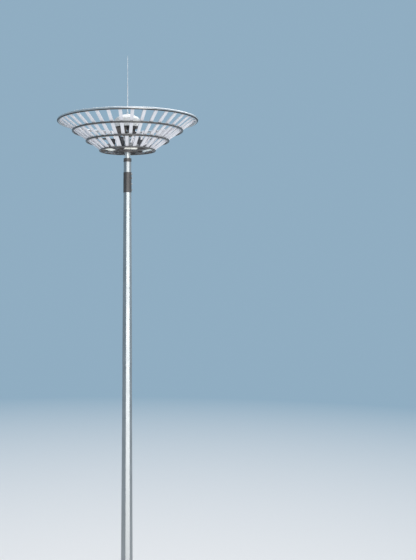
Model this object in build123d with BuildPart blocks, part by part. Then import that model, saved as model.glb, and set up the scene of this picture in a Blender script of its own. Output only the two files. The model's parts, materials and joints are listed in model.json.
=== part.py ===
"""High mast floodlight tower: a tapered octagonal mast, a head with rope sheaves under a
rain cap, and a basket-shaped crown of hoops and slats that carries the floodlights and
is hoisted up the mast. Millimetres, +Z up, origin in the middle of the flange's underside.
A turn is an angle in plan, from the front (-Y) towards the right (+X)."""

import os
from math import asin, atan, atan2, cos, degrees, hypot, radians, sin, sqrt, tan

from build123d import *

# Clearances
seat_gap = 0.3  # between pieces that rest on each other's round or sloping faces
run_gap = 5.0  # between the crown and what it passes or docks into

# Base flange and its gussets
flange_radius = 500
flange_thickness = 30
flange_chamfer = 3
conduit_radius = 45  # of the cable entries inside the shaft
conduit_circle_radius = 150
conduit_count = 3
anchor_circle_radius = 440
anchor_hole_radius = 19
anchor_count = 16
gusset_count = 8
gusset_height = 260
gusset_thickness = 12
gusset_reach = 470  # radius of the gusset's outer end
gusset_toe = 40  # height of the gusset's outer end

# Shaft: three eight-sided sections, each slipped over the one below
side_count = 8
shaft_base_flats = 590  # across flats, at ground level
shaft_taper = 10.8 / 1000  # width lost across flats per unit of height
lower_wall = 8
middle_wall = 7
upper_wall = 6
middle_start_z = 9600
upper_start_z = 19400
lower_lap = 750
middle_lap = 620
shaft_top_z = 28300

# Service door near the foot, on the front face
door_z = 1000
door_width = 150
door_height = 800
door_corner = 50
door_frame_width = 20
door_frame_inside = 12  # how far the frame stands into the shaft
door_frame_outside = 18
door_cover_thickness = 4
door_cover_margin = 4  # frame left bare round the cover
hinge_radius = 8
hinge_length = 70
hinge_spread = 520  # between the two hinges
hinge_leaf_width = 45
hinge_leaf_thickness = 3
lock_radius = 14
lock_height = 6
lock_key_radius = 6
lock_spread = 480
lock_inset = 28  # from the cover's edge

# Earthing lug, on the back face
earth_lug_z = 420
earth_lug_width = 60
earth_lug_reach = 55
earth_lug_thickness = 10
earth_hole_radius = 6.5

# Clamped sleeve under the crown, in two halves that are bolted at the right
sleeve_drop = 530  # below the shaft's top
sleeve_length = 870
sleeve_top_z = shaft_top_z - sleeve_drop
sleeve_bottom_z = sleeve_top_z - sleeve_length
sleeve_wall = 10
sleeve_split = 4  # open joint between the halves
ear_reach = 34
ear_height = 60
ear_thickness = 14
ear_hole_radius = 9
ear_heights = [sleeve_bottom_z + height for height in (110, 370, 630, 800)]

# Band and plate where the shaft ends, and the round neck above
band_lap = 80  # below the shaft's top
band_bottom_z = shaft_top_z - band_lap
band_height = 150
band_wall = 10
neck_plate_thickness = 16
neck_radius = 122
neck_wall = 8
neck_length = 1124

# Mast head: plates and cheeks that hold the sheaves
head_z = shaft_top_z + neck_plate_thickness + neck_length  # underside of the head plate
rope_radius = 6
rope_circle_radius = 490  # where the hoist ropes hang
head_plate_edge = 55  # of the head plate beyond the ropes
head_plate_radius = rope_circle_radius + head_plate_edge
head_plate_thickness = 16
head_top_radius = 300
head_top_thickness = 10
sheave_radius = 200  # to the middle of the rope
sheave_flange = 10  # beyond the middle of the rope
sheave_width = 36
sheave_web = 10
sheave_rim = 32
sheave_hub_radius = 40
sheave_lift = 5  # above the head plate
pin_radius = 12
pin_head_radius = 18
pin_head_height = 8
cheek_gap = 4  # between sheave and cheek
cheek_thickness = 10
cheek_inner_radius = 40
cheek_tab_z = head_z + 300
cheek_tab_height = 60
hoist_count = 3
hoist_turn = 26
rope_slot_width = 30
rope_tail_length = 190
rope_tail_z = head_z - rope_tail_length  # where the ropes end inside the neck

# Rain cap and lightning rod
cap_overhang = 35  # beyond the head plate
cap_radius = head_plate_radius + cap_overhang
cap_wall = 4
cap_lift = 260  # of the cap's edge above the head plate's underside
cap_bottom_z = head_z + cap_lift
cap_skirt_height = 330
cap_rise = 250
cap_flat_radius = 60
cap_post_radius = 30
cap_post_foot_radius = 60
cap_post_foot_height = 12
rod_base_radius = 55
rod_base_flange = 10
rod_base_height = 120
rod_base_top_radius = 32
rod_lower_radius = 22
rod_lower_length = 1250
rod_upper_radius = 12
rod_upper_length = 1270
rod_shoulder = 60
rod_shoulder_lip = 2
rod_tip_radius = 3
rod_tip_length = 160

# Crown: hoops on a cone, with slats on its inner side
crown_turn = 6  # of the first rib
floor_drop = 740  # below the head plate
floor_z = head_z - floor_drop
floor_ring_radius = 1200
floor_ring_tube = 30
rim_radius = 2990
rim_rise = 1280  # above the floor
rim_z = floor_z + rim_rise
rim_tube = 57.5
hoop_tube = 40
hoop_upper_rise = 845
hoop_upper_z = floor_z + hoop_upper_rise
hoop_middle_rise = 410
hoop_middle_z = floor_z + hoop_middle_rise
rib_count = 12
rib_width = 140
rib_depth = 50
rib_wall = 5
slat_wall = 6
slat_width_upper = 140
slat_width_middle = 139
slat_width_lower = 130
upper_slat_count = 36
lower_slat_count = 24
slat_joint = 12  # open joint between slats at a hoop
rim_overhang = 20  # of the slats past the middle of the rim
floor_overhang = 8  # of the slats past the middle of the floor ring

# Crown floor
inner_ring_radius = 420
inner_ring_tube = 25
spoke_count = 5
spoke_turn = 38
spoke_width = 60
spoke_height = 40
spoke_wall = 4
plate_thickness = 3
plate_inner_gap = 20  # from the middle of the inner ring
plate_inner_radius = inner_ring_radius + plate_inner_gap
plate_outer_gap = 50  # from the middle of the floor ring
plate_outer_radius = floor_ring_radius - plate_outer_gap
plate_joint = 4

# Guide rollers that keep the crown off the mast
guide_count = 4
guide_turn = 47
guide_inset = 50  # of the roller's pin from the middle of the inner ring
guide_radius = inner_ring_radius - guide_inset
guide_lift = 75
roller_radius = 32
roller_width = 48
roller_chamfer = 4
roller_pin_radius = 8
guide_arm_thickness = 8
guide_arm_gap = 3

# Docking posts and the sockets that take them
dock_count = 3
dock_turn = 98
dock_circle_radius = rope_circle_radius
dock_post_radius = 24
dock_foot_radius = 45
dock_foot_thickness = 12
dock_collar_radius = 44
dock_collar_height = 16
dock_tip_radius = 9
dock_tip_height = 60
dock_engagement = 110
socket_radius = 48
socket_length = 190
socket_mouth = 12

# Rope anchors on the crown
lug_thickness = 12
lug_hole_radius = 9
lug_rise = 100  # above the floor
lug_top_z = floor_z + lug_rise
lug_reach = 25  # past the rope
lug_pin_radius = 8.5
rope_end_radius = 14
rope_end_length = 90
fork_length = 60
fork_cheek = 6

# Floodlights
light_count = 5
light_turn = 2
light_inset = 330  # from the middle of the floor ring
light_circle_radius = floor_ring_radius - light_inset
light_tilt = 12
light_width = 600
light_depth = 460
light_band = 60
light_body_height = 170
light_back_width = 420
light_back_depth = 280
recess_depth = 34
recess_margin = 18
lens_thickness = 6
led_panel_thickness = 4
fin_count = 11
fin_height = 46
fin_thickness = 5
bracket_width = 100
bracket_foot = 60
bracket_height = 74
bracket_thickness = 8
light_cutout_shift = 14  # towards the mast
light_cutout_radius = light_circle_radius - light_cutout_shift
light_cutout_width = 640
light_cutout_depth = 460

# Driver cabinets that stand between the floodlights
cabinet_width = 190
cabinet_depth = 150
cabinet_gap = 10  # from the feet of the docking posts
cabinet_radius = dock_circle_radius + dock_foot_radius + cabinet_gap + cabinet_depth / 2
cabinet_height = 480
cabinet_corner = 8
cabinet_lid_height = 12
cabinet_lid_lip = 6


def turned(turn, count=1):
    """Places round the mast for a piece that is drawn towards +X."""
    return [Location((0, 0, 0), (0, 0, turn - 90 + 360 * i / count)) for i in range(count)]


def lower_flats(z):
    return shaft_base_flats - shaft_taper * z


def middle_flats(z):
    return lower_flats(z) + 2 * (seat_gap + middle_wall)


def upper_flats(z):
    return middle_flats(z) + 2 * (seat_gap + upper_wall)


def octagon(z, flats):
    """An eight-sided face at height z with flats to the front, back and sides."""
    with BuildSketch(Plane.XY.offset(z)) as face:
        RegularPolygon(flats / 2, side_count, major_radius=False, rotation=180 / side_count)
    return face.sketch


def octagon_shell(z_low, z_high, flats, wall):
    """Tapered eight-sided tube, added to the part in hand. flats gives its width at a height."""
    loft([octagon(z_low, flats(z_low)), octagon(z_high, flats(z_high))])
    loft(
        [octagon(z_low, flats(z_low) - 2 * wall), octagon(z_high, flats(z_high) - 2 * wall)],
        mode=Mode.SUBTRACT,
    )


def ring_solid(radius, z, tube):
    """A round hoop, made outside any part."""
    return Torus(radius, tube, mode=Mode.PRIVATE).moved(Location((0, 0, z)))


# Base flange
with BuildPart() as base_flange:
    with BuildSketch():
        Circle(flange_radius)
        with PolarLocations(conduit_circle_radius, conduit_count, start_angle=90):
            Circle(conduit_radius, mode=Mode.SUBTRACT)
        with PolarLocations(anchor_circle_radius, anchor_count, start_angle=180 / anchor_count):
            Circle(anchor_hole_radius, mode=Mode.SUBTRACT)
    extrude(amount=flange_thickness)
    chamfer(base_flange.faces().sort_by(Axis.Z)[-1].outer_wire().edges(), flange_chamfer)

# Gussets, one on each flat of the shaft
gusset_top_z = flange_thickness + gusset_height
with BuildPart() as gusset:
    with BuildSketch(Plane.XZ):
        Polygon(
            (lower_flats(flange_thickness) / 2, flange_thickness),
            (gusset_reach, flange_thickness),
            (gusset_reach, flange_thickness + gusset_toe),
            (lower_flats(gusset_top_z) / 2 + gusset_toe, gusset_top_z),
            (lower_flats(gusset_top_z) / 2, gusset_top_z),
            align=None,
        )
    extrude(amount=gusset_thickness / 2, both=True)
with BuildPart() as base_gussets:
    with Locations(*turned(0, gusset_count)):
        add(gusset.part)

# Service door: a frame welded into the front face, with a cover, hinges and locks
face_angle = atan(shaft_taper / 2)
door_face = Plane(
    origin=(0, -lower_flats(door_z) / 2, door_z),
    x_dir=(1, 0, 0),
    z_dir=(0, -cos(face_angle), sin(face_angle)),
)
frame_size = (door_width + 2 * door_frame_width, door_height + 2 * door_frame_width)
frame_corner = door_corner + door_frame_width
cover_size = (frame_size[0] - 2 * door_cover_margin, frame_size[1] - 2 * door_cover_margin)
with BuildPart() as door_frame:
    with BuildSketch(door_face.offset(-door_frame_inside)):
        RectangleRounded(*frame_size, frame_corner)
        RectangleRounded(door_width, door_height, door_corner, mode=Mode.SUBTRACT)
    extrude(amount=door_frame_inside + door_frame_outside)

with BuildPart() as door_cover:
    with BuildSketch(door_face.offset(door_frame_outside)):
        RectangleRounded(*cover_size, frame_corner - door_cover_margin)
    extrude(amount=door_cover_thickness)
    chamfer(door_cover.faces().sort_by(Axis.Y)[0].edges(), door_cover_thickness / 4)

cover_face = door_face.offset(door_frame_outside + door_cover_thickness)
hinge_x = -(frame_size[0] / 2 + seat_gap + hinge_radius)
with BuildPart() as door_hinges:
    for side in (-1, 1):
        hinge_y = side * hinge_spread / 2
        barrel_face = Plane(
            cover_face.origin + cover_face.y_dir * hinge_y, x_dir=(1, 0, 0), z_dir=cover_face.y_dir
        )
        with BuildSketch(barrel_face):
            with Locations((hinge_x, -hinge_leaf_thickness / 2)):
                Circle(hinge_radius)
        extrude(amount=hinge_length / 2, both=True)
        with BuildSketch(cover_face):
            with Locations((hinge_x, hinge_y)):
                Rectangle(hinge_leaf_width, hinge_length * 0.8, align=(Align.MIN, Align.CENTER))
        extrude(amount=hinge_leaf_thickness)
        with BuildSketch(door_face.offset(seat_gap)):
            with Locations((hinge_x, hinge_y)):
                Rectangle(hinge_radius, hinge_length * 0.6)
        extrude(amount=door_frame_outside)

with BuildPart() as door_lock:
    with BuildSketch(cover_face):
        with Locations(
            *[(cover_size[0] / 2 - lock_inset, side * lock_spread / 2) for side in (-1, 1)]
        ):
            Circle(lock_radius)
            RegularPolygon(lock_key_radius, 3, mode=Mode.SUBTRACT)
    extrude(amount=lock_height)

# Shaft sections
with BuildPart() as shaft_lower:
    octagon_shell(flange_thickness, middle_start_z + lower_lap, lower_flats, lower_wall)
    with BuildSketch(door_face.offset(-3 * lower_wall)):
        RectangleRounded(
            frame_size[0] + 2 * seat_gap, frame_size[1] + 2 * seat_gap, frame_corner + seat_gap
        )
    extrude(amount=6 * lower_wall, mode=Mode.SUBTRACT)

with BuildPart() as shaft_middle:
    octagon_shell(middle_start_z, upper_start_z + middle_lap, middle_flats, middle_wall)

with BuildPart() as shaft_upper:
    octagon_shell(upper_start_z, shaft_top_z, upper_flats, upper_wall)

# Earthing lug
earth_face_y = lower_flats(earth_lug_z + earth_lug_width / 2) / 2 + seat_gap
with BuildPart() as earth_lug:
    with BuildSketch(Plane.YZ):
        Polygon(
            (lower_flats(earth_lug_z - earth_lug_width / 2) / 2, earth_lug_z - earth_lug_width / 2),
            (earth_face_y + earth_lug_reach, earth_lug_z - earth_lug_width / 2),
            (earth_face_y + earth_lug_reach, earth_lug_z + earth_lug_width / 2),
            (lower_flats(earth_lug_z + earth_lug_width / 2) / 2, earth_lug_z + earth_lug_width / 2),
            align=None,
        )
        with Locations((earth_face_y + earth_lug_reach * 0.6, earth_lug_z)):
            Circle(earth_hole_radius, mode=Mode.SUBTRACT)
    extrude(amount=earth_lug_thickness / 2, both=True)


# Clamped sleeve
def sleeve_inner(z):
    return upper_flats(z) + 2 * seat_gap


def sleeve_outer(z):
    return sleeve_inner(z) + 2 * sleeve_wall


def make_sleeve_half(side):
    """One half of the sleeve, in front of (-1) or behind (1) the split, with its ears."""
    with BuildPart() as half:
        octagon_shell(sleeve_bottom_z, sleeve_top_z, sleeve_outer, sleeve_wall)
        ear_foot = sleeve_outer(sleeve_top_z) / 2 - sleeve_wall / 2
        ear_tip = sleeve_outer(sleeve_bottom_z) / 2 + ear_reach
        with Locations(*[(0, side * sleeve_split / 2, z) for z in ear_heights]):
            with Locations((ear_foot, 0, 0)):
                Box(
                    ear_tip - ear_foot,
                    ear_thickness,
                    ear_height,
                    align=(Align.MIN, Align.MIN if side > 0 else Align.MAX, Align.CENTER),
                )
        with BuildSketch(Plane.XZ):
            with Locations(*[(ear_tip - ear_reach / 2, z) for z in ear_heights]):
                Circle(ear_hole_radius)
        extrude(amount=2 * ear_thickness, both=True, mode=Mode.SUBTRACT)
        split(
            bisect_by=Plane.XZ.offset(-side * sleeve_split / 2),
            keep=Keep.BOTTOM if side > 0 else Keep.TOP,
        )
    return half


sleeve_front = make_sleeve_half(-1)
sleeve_back = make_sleeve_half(1)


# Band round the end of the shaft
def band_outer(z):
    return upper_flats(z) + 2 * (seat_gap + band_wall)


band_top_z = band_bottom_z + band_height
with BuildPart() as collar_band:
    octagon_shell(band_bottom_z, band_top_z, band_outer, band_wall)

# Plate that closes the shaft, and the round neck
with BuildPart() as neck_plate:
    plate_top_z = shaft_top_z + neck_plate_thickness
    plate_flats = band_outer(plate_top_z) - 2 * (band_wall + seat_gap)
    with BuildSketch(Plane.XY.offset(shaft_top_z)):
        RegularPolygon(plate_flats / 2, side_count, major_radius=False, rotation=180 / side_count)
        Circle(neck_radius - neck_wall, mode=Mode.SUBTRACT)
    extrude(amount=neck_plate_thickness)

with BuildPart() as neck_tube:
    with BuildSketch(Plane.XY.offset(plate_top_z)):
        Circle(neck_radius)
        Circle(neck_radius - neck_wall, mode=Mode.SUBTRACT)
    extrude(amount=head_z - plate_top_z)

# Mast head
head_plate_top_z = head_z + head_plate_thickness
sheave_outer = sheave_radius + sheave_flange
sheave_z = head_plate_top_z + sheave_lift + sheave_outer
sheave_centre = rope_circle_radius - sheave_radius
cheek_inside = sheave_width / 2 + cheek_gap
cheek_outside = cheek_inside + cheek_thickness
head_top_z = sheave_z + sheave_outer + sheave_lift
tab_radius = sqrt((cap_radius - cap_wall - seat_gap) ** 2 - cheek_outside**2)
with BuildPart() as cheek_pair:
    with BuildSketch(Plane.XZ):
        Polygon(
            (cheek_inner_radius, head_plate_top_z),
            (head_plate_radius - cheek_thickness, head_plate_top_z),
            (head_plate_radius - cheek_thickness, cheek_tab_z),
            (tab_radius, cheek_tab_z),
            (tab_radius, cheek_tab_z + cheek_tab_height),
            (head_top_radius, head_top_z),
            (cheek_inner_radius, head_top_z),
            align=None,
        )
        with Locations((sheave_centre, sheave_z)):
            Circle(pin_radius + seat_gap, mode=Mode.SUBTRACT)
    extrude(amount=cheek_outside, both=True)
    with Locations((cap_radius / 2, 0, (head_plate_top_z + head_top_z) / 2)):
        Box(2 * cap_radius, 2 * cheek_inside, 2 * cap_radius, mode=Mode.SUBTRACT)

with BuildPart() as head_frame:
    with BuildSketch(Plane.XY.offset(head_z)):
        Circle(head_plate_radius)
        Circle(neck_radius - neck_wall, mode=Mode.SUBTRACT)
        with PolarLocations(0, hoist_count, start_angle=hoist_turn - 90):
            with Locations((head_plate_radius, 0)):
                SlotOverall(
                    2 * (head_plate_radius - rope_circle_radius) + rope_slot_width,
                    rope_slot_width,
                    mode=Mode.SUBTRACT,
                )
    extrude(amount=head_plate_thickness)
    with Locations(*turned(hoist_turn, hoist_count)):
        add(cheek_pair.part)
    with BuildSketch(Plane.XY.offset(head_top_z)):
        Circle(head_top_radius)
    extrude(amount=head_top_thickness)

# Sheaves on their pins
with BuildPart() as sheave:
    with BuildSketch(Plane.XY.offset(sheave_z)):
        with Locations((sheave_centre, 0)):
            with Locations((pin_radius + seat_gap, 0)):
                Rectangle(
                    sheave_hub_radius - pin_radius - seat_gap,
                    sheave_width,
                    align=(Align.MIN, Align.CENTER),
                )
                Rectangle(
                    sheave_radius - pin_radius - seat_gap,
                    sheave_web,
                    align=(Align.MIN, Align.CENTER),
                )
            with Locations((sheave_outer, 0)):
                Rectangle(sheave_rim, sheave_width, align=(Align.MAX, Align.CENTER))
            with Locations((sheave_radius, 0)):
                Circle(rope_radius + seat_gap, mode=Mode.SUBTRACT)
                Polygon(
                    (0, -rope_radius - seat_gap),
                    (sheave_flange, -sheave_width / 3),
                    (sheave_flange, sheave_width / 3),
                    (0, rope_radius + seat_gap),
                    align=None,
                    mode=Mode.SUBTRACT,
                )
    revolve(axis=Axis((sheave_centre, 0, sheave_z), (0, 1, 0)))
    with BuildSketch(Plane.XZ):
        with Locations((sheave_centre, sheave_z)):
            with PolarLocations((sheave_hub_radius + sheave_outer - sheave_rim) / 2, 6):
                Circle(sheave_hub_radius * 0.7)
    extrude(amount=sheave_width, both=True, mode=Mode.SUBTRACT)

with BuildPart() as sheave_pin:
    with BuildSketch(Plane.XZ):
        with Locations((sheave_centre, sheave_z)):
            Circle(pin_radius)
    extrude(amount=cheek_outside + seat_gap, both=True)
    for side in (-1, 1):
        with BuildSketch(Plane.XZ.offset(side * (cheek_outside + seat_gap))):
            with Locations((sheave_centre, sheave_z)):
                RegularPolygon(pin_head_radius, 6)
        extrude(amount=side * pin_head_height)

with BuildPart() as sheaves:
    with Locations(*turned(hoist_turn, hoist_count)):
        add(sheave.part)
        add(sheave_pin.part)

# Ropes over the sheaves, down into the neck
with BuildPart() as rope_over:
    with BuildLine(Plane.XZ) as rope_route:
        CenterArc((sheave_centre, sheave_z), sheave_radius, 0, 180)
        Line(
            (sheave_centre - sheave_radius, sheave_z),
            (sheave_centre - sheave_radius, rope_tail_z),
        )
    with BuildSketch(Plane.XY.offset(sheave_z)):
        with Locations((rope_circle_radius, 0)):
            Circle(rope_radius)
    sweep(path=rope_route.wire())
with BuildPart() as rope_arcs:
    with Locations(*turned(hoist_turn, hoist_count)):
        add(rope_over.part)

# Sockets under the head plate for the docking posts
socket_bore = dock_post_radius + run_gap
with BuildPart() as socket:
    with BuildSketch(Plane.XZ):
        with Locations((dock_circle_radius, head_z)):
            Polygon(
                (socket_bore, 0),
                (socket_radius, 0),
                (socket_radius, -socket_length),
                (socket_bore + socket_mouth, -socket_length),
                (socket_bore, -socket_length + 2 * socket_mouth),
                align=None,
            )
    revolve(axis=Axis((dock_circle_radius, 0, head_z), (0, 0, 1)))
with BuildPart() as docking_sockets:
    with Locations(*turned(dock_turn, dock_count)):
        add(socket.part)

# Rain cap, a drum with a domed roof
cap_top_z = cap_bottom_z + cap_skirt_height + cap_rise
roof_radius = (cap_radius**2 + cap_rise**2) / (2 * cap_rise)
roof_centre_z = cap_top_z - roof_radius


def roof_z(radius, inset):
    """Height of the roof, or of its underside at the wall's inset, at a radius."""
    return roof_centre_z + sqrt((roof_radius - inset) ** 2 - radius**2)


def cap_outline(inset):
    """Half the cap's section as a face, its walls set in by inset."""
    edge = cap_radius - inset
    middle = (edge + cap_flat_radius) / 2
    flat_z = roof_z(cap_flat_radius, inset)
    with BuildSketch(Plane.XZ) as outline:
        with BuildLine():
            ThreePointArc(
                (cap_flat_radius, flat_z), (middle, roof_z(middle, inset)), (edge, roof_z(edge, inset))
            )
            Polyline(
                (edge, roof_z(edge, inset)),
                (edge, cap_bottom_z),
                (0, cap_bottom_z),
                (0, flat_z),
                (cap_flat_radius, flat_z),
            )
        make_face()
    return outline.sketch


with BuildPart() as rain_cap:
    revolve(cap_outline(0), axis=Axis.Z)
    revolve(cap_outline(cap_wall), axis=Axis.Z, mode=Mode.SUBTRACT)

cap_seat_z = roof_z(cap_flat_radius, cap_wall)
head_deck_z = head_top_z + head_top_thickness
with BuildPart() as cap_post:
    with Locations((0, 0, head_deck_z)):
        Cylinder(
            cap_post_radius,
            cap_seat_z - head_deck_z,
            align=(Align.CENTER, Align.CENTER, Align.MIN),
        )
        Cylinder(
            cap_post_foot_radius,
            cap_post_foot_height,
            align=(Align.CENTER, Align.CENTER, Align.MIN),
        )
    with Locations((0, 0, cap_seat_z)):
        Cylinder(
            cap_flat_radius - cap_wall,
            cap_post_foot_height,
            align=(Align.CENTER, Align.CENTER, Align.MAX),
        )

# Lightning rod in stepped tubes
rod_base_z = roof_z(cap_flat_radius, 0)
rod_foot_z = rod_base_z + rod_base_flange
with BuildPart() as rod_base:
    with Locations((0, 0, rod_base_z)):
        Cylinder(
            rod_base_radius, rod_base_flange, align=(Align.CENTER, Align.CENTER, Align.MIN)
        )
    with Locations((0, 0, rod_foot_z)):
        Cone(
            rod_base_radius * 0.8,
            rod_base_top_radius,
            rod_base_height,
            align=(Align.CENTER, Align.CENTER, Align.MIN),
        )
        Cylinder(
            rod_lower_radius + seat_gap,
            rod_base_height,
            align=(Align.CENTER, Align.CENTER, Align.MIN),
            mode=Mode.SUBTRACT,
        )

rod_joint_z = rod_foot_z + rod_lower_length
rod_top_z = rod_joint_z + rod_upper_length
with BuildPart() as rod_lower:
    with BuildSketch(Plane.XZ):
        Polygon(
            (0, rod_foot_z),
            (rod_lower_radius, rod_foot_z),
            (rod_lower_radius, rod_joint_z - rod_shoulder),
            (rod_upper_radius + rod_shoulder_lip, rod_joint_z),
            (0, rod_joint_z),
            align=None,
        )
    revolve(axis=Axis.Z)

with BuildPart() as rod_upper:
    with BuildSketch(Plane.XZ):
        Polygon(
            (0, rod_joint_z),
            (rod_upper_radius, rod_joint_z),
            (rod_upper_radius, rod_top_z - rod_tip_length),
            (rod_tip_radius, rod_top_z),
            (0, rod_top_z),
            align=None,
        )
    revolve(axis=Axis.Z)


# Crown cone: the slats' outer faces lie in planes that touch every hoop from inside.
# Flat slats meet a round hoop at their edges, so each hoop lies deeper by its sagitta.
cone_run = rim_radius - floor_ring_radius
cone_rise = rim_z - floor_z
cone_length = hypot(cone_run, cone_rise)
rough_angle = atan2(cone_rise, cone_run)


def hoop_depth(radius, tube):
    """From a hoop's centre line to the plane of the slats."""
    sagitta = radius - sqrt(radius**2 - (rib_width / 2) ** 2)
    return tube + seat_gap + sagitta * sin(rough_angle)


floor_depth = hoop_depth(floor_ring_radius, floor_ring_tube)
rim_depth = hoop_depth(rim_radius, rim_tube)
cone_angle = rough_angle + asin((rim_depth - floor_depth) / cone_length)
along = (cos(cone_angle), sin(cone_angle))  # up the cone, in radius and height
inward = (-sin(cone_angle), cos(cone_angle))
foot_radius = floor_ring_radius + inward[0] * floor_depth
foot_z = floor_z + inward[1] * floor_depth


def hoop_place(z, tube):
    """Distance up the cone and radius of a hoop whose centre lies at height z."""
    distance, radius = 0, floor_ring_radius
    for _ in range(4):
        depth = hoop_depth(radius, tube)
        distance = (z + inward[1] * depth - foot_z) / along[1]
        radius = foot_radius + along[0] * distance - inward[0] * depth
    return distance, radius


rim_at = cone_length * cos(cone_angle - rough_angle)
upper_at, hoop_upper_radius = hoop_place(hoop_upper_z, hoop_tube)
middle_at, hoop_middle_radius = hoop_place(hoop_middle_z, hoop_tube)
cone_face = Plane(
    origin=(foot_radius, 0, foot_z), x_dir=(0, -1, 0), z_dir=(inward[0], 0, inward[1])
)

with BuildPart() as rim_hoop:
    add(ring_solid(rim_radius, rim_z, rim_tube))
with BuildPart() as hoop_upper:
    add(ring_solid(hoop_upper_radius, hoop_upper_z, hoop_tube))
with BuildPart() as hoop_middle:
    add(ring_solid(hoop_middle_radius, hoop_middle_z, hoop_tube))
with BuildPart() as floor_ring:
    add(ring_solid(floor_ring_radius, floor_z, floor_ring_tube))

# Channel ribs that join the hoops, with the flat side outwards like a slat
rib_length = rim_at + rim_overhang + floor_overhang
with BuildPart() as rib:
    with BuildSketch(cone_face):
        with Locations((0, -floor_overhang)):
            Rectangle(rib_width, rib_length, align=(Align.CENTER, Align.MIN))
    extrude(amount=rib_wall)
    with BuildSketch(cone_face):
        for side in (-1, 1):
            with Locations((side * rib_width / 2, -floor_overhang)):
                Rectangle(
                    rib_wall,
                    rib_length,
                    align=(Align.MIN if side < 0 else Align.MAX, Align.MIN),
                )
    extrude(amount=rib_depth)
with BuildPart() as crown_ribs:
    with Locations(*turned(crown_turn, rib_count)):
        add(rib.part)


def make_slats(start, end, width, count, turn):
    """A tier of flat slats between two distances up the cone, left out where the ribs are."""
    with BuildPart() as slat:
        with BuildSketch(cone_face):
            with Locations((0, start)):
                Rectangle(width, end - start, align=(Align.CENTER, Align.MIN))
        extrude(amount=slat_wall)
    rib_step = 360 / rib_count
    places = [
        place
        for i, place in enumerate(turned(turn, count))
        if abs((360 * i / count + rib_step / 2) % rib_step - rib_step / 2) > rib_step / 100
    ]
    with BuildPart() as tier:
        with Locations(*places):
            add(slat.part)
    return tier


slats_upper = make_slats(
    upper_at + slat_joint / 2, rim_at + rim_overhang, slat_width_upper, upper_slat_count, crown_turn
)
slats_middle = make_slats(
    middle_at + slat_joint / 2,
    upper_at - slat_joint / 2,
    slat_width_middle,
    upper_slat_count,
    crown_turn,
)
slats_lower = make_slats(
    -floor_overhang, middle_at - slat_joint / 2, slat_width_lower, lower_slat_count, crown_turn
)

# Floor of the crown: ring, spokes and plates
with BuildPart() as inner_ring:
    add(ring_solid(inner_ring_radius, floor_z, inner_ring_tube))

with BuildPart() as spoke:
    with BuildSketch(Plane.YZ.offset(inner_ring_radius)):
        with Locations((0, floor_z)):
            Rectangle(spoke_width, spoke_height)
            Rectangle(
                spoke_width - 2 * spoke_wall, spoke_height - 2 * spoke_wall, mode=Mode.SUBTRACT
            )
    extrude(amount=floor_ring_radius - inner_ring_radius)
    add(ring_solid(inner_ring_radius, floor_z, inner_ring_tube + seat_gap), mode=Mode.SUBTRACT)
    add(ring_solid(floor_ring_radius, floor_z, floor_ring_tube + seat_gap), mode=Mode.SUBTRACT)
with BuildPart() as floor_spokes:
    with Locations(*turned(spoke_turn, spoke_count)):
        add(spoke.part)

plate_z = floor_z + spoke_height / 2
deck_z = plate_z + plate_thickness
with BuildPart() as floor_plates:
    with BuildSketch(Plane.XY.offset(plate_z)):
        Circle(plate_outer_radius)
        Circle(plate_inner_radius, mode=Mode.SUBTRACT)
        with PolarLocations(0, spoke_count, start_angle=spoke_turn - 90):
            Rectangle(
                plate_outer_radius + plate_joint,
                plate_joint,
                align=(Align.MIN, Align.CENTER),
                mode=Mode.SUBTRACT,
            )
        with PolarLocations(0, light_count, start_angle=light_turn - 90):
            with Locations((light_cutout_radius, 0)):
                Rectangle(light_cutout_depth, light_cutout_width, mode=Mode.SUBTRACT)
    extrude(amount=plate_thickness)

# Guide rollers in forks on the inner ring
roller_z = floor_z + guide_lift
fork_inside = roller_width / 2 + guide_arm_gap
fork_outside = fork_inside + guide_arm_thickness
with BuildPart() as guide_fork:
    with BuildSketch(Plane.XZ):
        Polygon(
            (inner_ring_radius - inner_ring_tube, floor_z + inner_ring_tube / 2),
            (inner_ring_radius, floor_z),
            (inner_ring_radius + inner_ring_tube / 2, floor_z + inner_ring_tube / 2),
            (inner_ring_radius + inner_ring_tube / 2, roller_z),
            (guide_radius + roller_radius / 2, roller_z + roller_radius * 0.8),
            (guide_radius - roller_radius / 2, roller_z + roller_radius * 0.8),
            (guide_radius - roller_radius * 0.7, roller_z - roller_radius / 2),
            align=None,
        )
    extrude(amount=fork_outside, both=True)
    with Locations((guide_radius, 0, roller_z)):
        Box(4 * roller_radius, 2 * fork_inside, 6 * roller_radius, mode=Mode.SUBTRACT)
    add(ring_solid(inner_ring_radius, floor_z, inner_ring_tube + seat_gap), mode=Mode.SUBTRACT)
    with BuildSketch(Plane.XZ):
        with Locations((guide_radius, roller_z)):
            Circle(roller_pin_radius)
    extrude(amount=fork_outside + guide_arm_gap, both=True)
with BuildPart() as guide_arms:
    with Locations(*turned(guide_turn, guide_count)):
        add(guide_fork.part)

with BuildPart() as roller:
    with BuildSketch(Plane.XZ):
        with Locations((guide_radius, roller_z)):
            Circle(roller_radius)
            Circle(roller_pin_radius + seat_gap, mode=Mode.SUBTRACT)
    extrude(amount=roller_width / 2, both=True)
    chamfer(roller.edges().filter_by(GeomType.CIRCLE).group_by(SortBy.RADIUS)[-1], roller_chamfer)
with BuildPart() as guide_rollers:
    with Locations(*turned(guide_turn, guide_count)):
        add(roller.part)

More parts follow.
